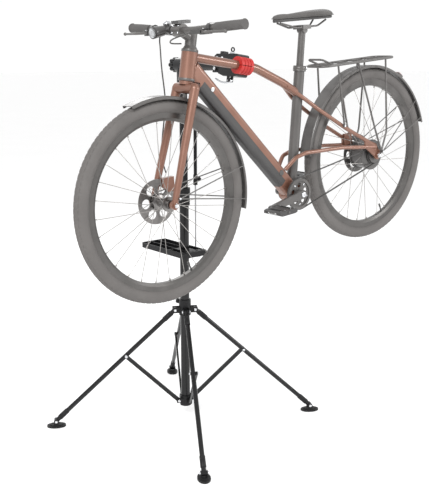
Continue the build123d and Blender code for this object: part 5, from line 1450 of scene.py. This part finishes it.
# ---- Drive ----
@dataclass
class Drive(Kit):
    """Crank bolts, ring screws, and the pedals' pins and reflectors."""

    crank: tuple[float, float] = (CRANK_AHEAD, CRANK_UP)
    crank_length: float = 170.0
    crank_angle: float = -8.0
    belt_across: float = 47.0
    crank_face: float = 69.9
    ring_screws: int = 5
    ring_circle: float = 41.0
    pedal_across: float = 115.0
    pedal_end: float = 43.6

    def build(self) -> None:
        """Builds the drive's pieces."""
        bike = self.bike
        x, z = self.crank
        caps = [bike.aimed((x, side * self.crank_face, z), (0, side, 0)) for side in (-1, 1)]
        piece = Piece("crank_bolts").screws(Screw.BUTTON, caps, 1.7)
        ring = []
        r = self.ring_circle
        for number in range(self.ring_screws):
            turn = math.radians(360 / self.ring_screws * number + 56)
            spot = (x + r * math.cos(turn), self.belt_across + 0.1, z + r * math.sin(turn))
            ring.append(bike.aimed(spot, (0, 1, 0)))
        piece.screws(Screw.SMALL, ring, 1.3)
        self.bolts(piece, "crankset")
        for side, name in ((1, "drive_side"), (-1, "disc_side")):
            self._pedal(side, name)

    def _pedal(self, side: int, name: str) -> None:
        """Builds one pedal's grip pins and its two reflectors."""
        turn = math.radians(self.crank_angle + (0 if side > 0 else 180))
        x = self.crank[0] + self.crank_length * math.cos(turn)
        z = self.crank[1] + self.crank_length * math.sin(turn)
        pin = [(0, -0.5), (1.7, -0.5), (1.7, 1.1), (1.2, 1.5), (0, 1.5)]
        pins, glass = Piece(f"pedal_{name}_pins"), Piece(f"pedal_{name}_reflectors")
        for face in (-1, 1):
            for dx in (-34, -14, 14, 34):
                for across in (78, 152):
                    spot = (x + dx * 0.97, side * across, z + face * 9)
                    pins.add(Shape.lathe(self.bike.aimed(spot, (0, 0, face)), pin, 12))
        for end in (-1, 1):
            axes = self.bike.aimed((x + end * self.pedal_end, side * self.pedal_across, z), (end, 0, 0))
            u = np.linspace(0, 1, 5)
            flat = np.stack(self.oval(22, 3.9, 0.3, 0.4, 40), axis=-1)
            place = self.facing(axes, self.bike.basis[1])
            shrink = np.sqrt(1 - (u * 0.9) ** 2)[:, None, None]
            grid = np.concatenate([flat * shrink, (u * 1.4)[:, None, None] + np.zeros((5, 40, 1))], axis=-1)
            glass.add(place.put(grid), caps=True)
        self.bolts(pins, f"pedal_{name}")
        glass.build(f"pedal_{name}", "controls", self.paints[Paint.LAMP_BOWL])


# ---- Saddle ----
@dataclass
class Saddle(Kit):
    """The padded cover, its edge piping and the shell below it."""

    base: float = 568.0
    clamp_up: float = 540.0
    back: float = -126.0
    length: float = 280.0
    across: Sequence = field(
        default_factory=lambda: [
            (-126, 0), (-124, 24), (-116, 50), (-98, 68), (-52, 66), (8, 40), (76, 23), (130, 17), (148, 10),
            (154, 0),
        ]
    )
    voxel: float = 0.004
    swell_cap: float = 0.003

    @property
    def middle(self) -> float:
        """Returns the saddle's place along the bicycle."""
        return CRANK_AHEAD - (self.clamp_up - CRANK_UP) / math.tan(SEAT_ANGLE)

    def outline(self, count: int) -> tuple[np.ndarray, np.ndarray]:
        """Returns smooth places along the saddle and its half width at each."""
        line = Shape.smooth([(x, y, 0) for x, y in self.across], count)
        return line[:, 0], np.maximum(line[:, 1], 0)

    def build(self) -> None:
        """Builds the cover, the piping and the shell."""
        cover = self._cover()
        self._inflate(cover)
        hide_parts("saddle")
        self._piping()
        self._shell()

    def _cover(self) -> bpy.types.Object:
        """Builds the cover: superellipse sections along the saddle, crowned, with a channel down the middle.

        z = base + rise(u) + h(u) sin t, less a channel exp(-(y / 8)^2) on the upper side.
        """
        x, half = self.outline(64)
        turn = np.linspace(0, 2 * np.pi, 56, endpoint=False)
        c, s = np.cos(turn), np.sin(turn)
        share = (x - self.back) / self.length
        tall = (15 + 3.2 * np.cos(np.pi * np.clip(share * 1.15, 0, 1))) * np.clip(half / 14, 0, 1) ** 0.5
        y = half[:, None] * 0.985 * np.sign(c) * np.abs(c) ** 0.8
        upper = tall[:, None] * np.abs(s) ** 0.75
        lower = -6.0 * np.clip(half / 14, 0, 1)[:, None] ** 0.5 * np.abs(s) ** 0.5
        rise = np.where(s > 0, upper, lower)
        window = np.clip((x + 92) / 24, 0, 1) * np.clip((96 - x) / 24, 0, 1)
        rise = rise - 4.2 * window[:, None] * np.exp(-((y / 7.5) ** 2)) * (s > 0)
        level = self.base + 13 + 4.0 * (share - 0.45) ** 2
        grid = np.stack([self.middle + x[:, None] + 0 * y, y, level[:, None] + rise], axis=-1)
        return Piece("saddle_cover").add(self.bike.put(grid)).build(
            "seat", "saddle", self.paints[Paint.SADDLE], 70
        )

    def _inflate(self, cover: bpy.types.Object) -> None:
        """Lets the cover swell as cloth for twenty frames, caps each point's move, and smooths it."""
        scene = bpy.context.scene
        remesh = cover.modifiers.new("remesh", "REMESH")
        remesh.mode = "VOXEL"
        remesh.voxel_size = self.voxel
        self._apply(cover)
        count = len(cover.data.vertices)
        rest = np.empty(count * 3)
        cover.data.vertices.foreach_get("co", rest)
        rest = rest.reshape(-1, 3)
        cloth = cover.modifiers.new("swell", "CLOTH")
        cloth.settings.use_pressure = True
        cloth.settings.uniform_pressure_force = 4.0
        cloth.settings.effector_weights.gravity = 0.0
        cloth.point_cache.frame_start, cloth.point_cache.frame_end = 1, 20
        for number in range(1, 21):
            scene.frame_set(number)
        swollen = cover.evaluated_get(bpy.context.evaluated_depsgraph_get())
        moved = np.empty(count * 3)
        swollen.data.vertices.foreach_get("co", moved)
        step = moved.reshape(-1, 3) - rest
        size = np.linalg.norm(step, axis=1, keepdims=True)
        step *= np.minimum(1.0, self.swell_cap / np.maximum(size, 1e-9))
        cover.modifiers.clear()
        scene.frame_set(1)
        cover.data.vertices.foreach_set("co", (rest + step).ravel())
        smooth = cover.modifiers.new("relax", "SMOOTH")
        smooth.factor, smooth.iterations = 0.5, 4
        self._apply(cover)
        divide = cover.modifiers.new("round", "SUBSURF")
        divide.levels = divide.render_levels = 1
        self._apply(cover)
        cover.data.shade_smooth()

    @staticmethod
    def _apply(obj: bpy.types.Object) -> None:
        """Turns an object's modified shape into its own mesh."""
        graph = bpy.context.evaluated_depsgraph_get()
        mesh = bpy.data.meshes.new_from_object(obj.evaluated_get(graph))
        old, materials = obj.data, list(obj.data.materials)
        obj.modifiers.clear()
        obj.data = mesh
        mesh.materials.clear()
        for material in materials:
            mesh.materials.append(material)
        bpy.data.meshes.remove(old)

    def _piping(self) -> None:
        """Builds a round cord sewn along the cover's edge, closed round both sides."""
        x, half = self.outline(110)
        loop_x = np.concatenate([x, x[-2:0:-1]])
        loop_y = np.concatenate([half, -half[-2:0:-1]]) * 0.985
        level = self.base + 12.4 + 4.0 * ((loop_x - self.back) / self.length - 0.45) ** 2
        line = np.stack([self.middle + loop_x, loop_y, level], axis=-1)
        Piece("saddle_piping").add(Shape.bead(self.bike.put(line), 1.5, 8), close_u=True).build(
            "seat", "saddle", self.paints[Paint.GRIP], 70
        )

    def _shell(self) -> None:
        """Builds the stiff shell under the cover, from its edge in to the rails' roots."""
        x, half = self.outline(64)
        turn = np.linspace(0, 2 * np.pi, 48, endpoint=False)
        c, s = np.cos(turn), np.sin(turn)
        y = half[:, None] * 0.9 * np.sign(c) * np.abs(c) ** 0.7
        rise = np.where(s > 0, 4.0, -7.2) * np.abs(s) ** 0.35 * np.clip(half / 8, 0, 1)[:, None] ** 0.4
        level = self.base + 6.4 + 0 * x
        grid = np.stack([self.middle + 0.975 * x[:, None] + 0 * y, y, level[:, None] + rise], axis=-1)
        Piece("saddle_shell").add(self.bike.put(grid)).build("seat", "controls", self.paints[Paint.BATTERY], 70)


# ---- Carried-over nodes, room and camera ----
class Dress:
    """Which finish each carried-over CAD node takes."""

    FINISHES: dict[Paint, tuple[str, ...]] = {
        Paint.STAND_BLACK: (
            "mast_lower_tube", "mast_upper_tube", "mast_head", "clamp_arm", "clamp_body", "lower_jaw"
        ),
        Paint.STAND_MOULDED: (
            "mast_collar", "collar_lever", "lower_hub", "leg_hub", "hub_knob", "tool_tray", "head_knob",
            "holder_tube",
        ),
        Paint.ROD_STEEL: ("holder_rod",),
        Paint.PAD_RED: ("upper_pad", "lower_pad"),
        Paint.FRAME_COPPER: ("front_frame", "top_tube", "rear_stays", "fork"),
        Paint.BATTERY: ("battery_cover", "pedal_drive_side", "pedal_disc_side"),
        Paint.BIKE_GREY: (
            "seat_tube", "stem", "handlebar", "brake_lever_drive_side", "brake_lever_disc_side",
            "front_fender", "rear_fender", "rack", "crankset", "seatpost",
        ),
        Paint.RIM: ("front_rim", "rear_rim"),
        Paint.SPOKE: ("front_spokes", "rear_spokes"),
        Paint.DISC: ("front_hub",),
        Paint.HUB: ("rear_motor",),
        Paint.BELT: ("drive_belt",),
        Paint.CONTROL: ("bar_controls",),
    }

    @classmethod
    def apply(cls, nodes: dict, paints: Paints) -> None:
        """Gives every shown CAD node its finish.

        Args:
            nodes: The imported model's nodes by name.
            paints: The finished materials.
        """
        for paint, names in cls.FINISHES.items():
            for name in names:
                cls._assign(nodes[name], paints[paint])
        for number in range(1, 5):
            cls._assign(nodes[f"leg_{number}"], paints[Paint.STAND_BLACK])
            cls._assign(nodes[f"strut_{number}"], paints[Paint.STAND_BLACK])
            cls._assign(nodes[f"foot_{number}"], paints[Paint.FOOT_RUBBER])

    @staticmethod
    def _assign(node: bpy.types.Object, material: bpy.types.Material) -> None:
        """Puts one material in every slot of a node."""
        if not node.material_slots:
            node.data.materials.append(material)
        for slot in node.material_slots:
            slot.material = material


@dataclass
class Studio:
    """The pale floor, the soft lights and the camera."""

    place: Point = (-2.257, -2.613, 1.530)
    look: Point = (0.62474, 0.74725, -0.22563)
    focal: float = 61.2
    floor_half: float = 60.0

    def build(self) -> None:
        """Builds the floor, the world, the lights and the camera."""
        self._floor()
        self._world()
        self._light("key", (-3.2, -2.2, 3.6), (0.0, 0.0, 0.8), 1.6, 120)
        self._light("fill", (2.8, -3.4, 2.4), (0.1, 0.0, 0.8), 1.2, 60)
        self._light("back", (1.2, 3.6, 3.0), (0.0, 0.0, 0.9), 1.6, 25)
        self._camera()

    def _floor(self) -> None:
        """Builds a wide floor whose tone drifts very slightly."""
        h = self.floor_half
        mesh = bpy.data.meshes.new("studio_floor")
        mesh.from_pydata([(-h, -h, 0), (h, -h, 0), (h, h, 0), (-h, h, 0)], [], [(0, 1, 2, 3)])
        floor = bpy.data.objects.new("studio_floor", mesh)
        bpy.context.scene.collection.objects.link(floor)
        material = bpy.data.materials.new("floor_pale")
        material.use_nodes = True
        g = Graph(material.node_tree)
        shader = g.tree.nodes["Principled BSDF"]
        where = g.node("TexCoord").outputs["Object"]
        noise = g.node("TexNoise", Vector=where, Scale=1.2, Detail=2.0)
        tone = g.node("Mix", {"data_type": "RGBA"})
        g.feed(tone, 0, noise.outputs[0])
        g.feed(tone, 6, (0.95, 0.95, 0.95, 1.0))
        g.feed(tone, 7, (0.98, 0.98, 0.98, 1.0))
        g.feed(shader, "Base Color", tone.outputs[2])
        shader.inputs["Roughness"].default_value = 0.7
        shader.inputs["Specular IOR Level"].default_value = 0.1
        mesh.materials.append(material)

    @staticmethod
    def _world() -> None:
        """Sets an even near-white surround."""
        world = bpy.data.worlds.new("studio")
        world.use_nodes = True
        back = world.node_tree.nodes["Background"]
        back.inputs[0].default_value = (1.0, 1.0, 1.0, 1.0)
        back.inputs[1].default_value = 1.02
        bpy.context.scene.world = world
        bpy.context.scene.view_settings.view_transform = "Standard"

    @staticmethod
    def _light(name: str, place: Point, aim: Point, size: float, watts: float) -> None:
        """Adds a square soft light that faces a point."""
        data = bpy.data.lights.new(name, "AREA")
        data.size, data.energy = size, watts
        lamp = bpy.data.objects.new(name, data)
        bpy.context.scene.collection.objects.link(lamp)
        lamp.location = place
        lamp.rotation_mode = "QUATERNION"
        lamp.rotation_quaternion = (Vector(aim) - Vector(place)).to_track_quat("-Z", "Y")

    def _camera(self) -> None:
        """Adds the camera at the catalogue view's place."""
        data = bpy.data.cameras.new("camera")
        data.lens, data.sensor_width = self.focal, 36.0
        data.clip_start, data.clip_end = 0.05, 200.0
        camera = bpy.data.objects.new("camera", data)
        bpy.context.scene.collection.objects.link(camera)
        camera.location = self.place
        camera.rotation_mode = "QUATERNION"
        camera.rotation_quaternion = Vector(self.look).to_track_quat("-Z", "Y")
        bpy.context.scene.camera = camera


def main() -> None:
    """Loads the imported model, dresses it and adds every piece."""
    logging.basicConfig(level=logging.INFO, format="%(message)s")
    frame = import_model()
    layout, paints = Layout(frame), Paints()
    Dress.apply(frame["nodes"], paints)
    FoldingBase(layout, paints).build()
    Mast(layout, paints).build()
    JawClamp(layout, paints).build()
    Wheel(layout, paints, "front", 1062.0, -40.0).build()
    Wheel(layout, paints, "rear", 0.0, -50.0).build()
    BikeFrame(layout, paints).build()
    RackAndLamps(layout, paints).build()
    Cockpit(layout, paints).build()
    Drive(layout, paints).build()
    Saddle(layout, paints).build()
    Studio().build()


if __name__ == "__main__":
    main()
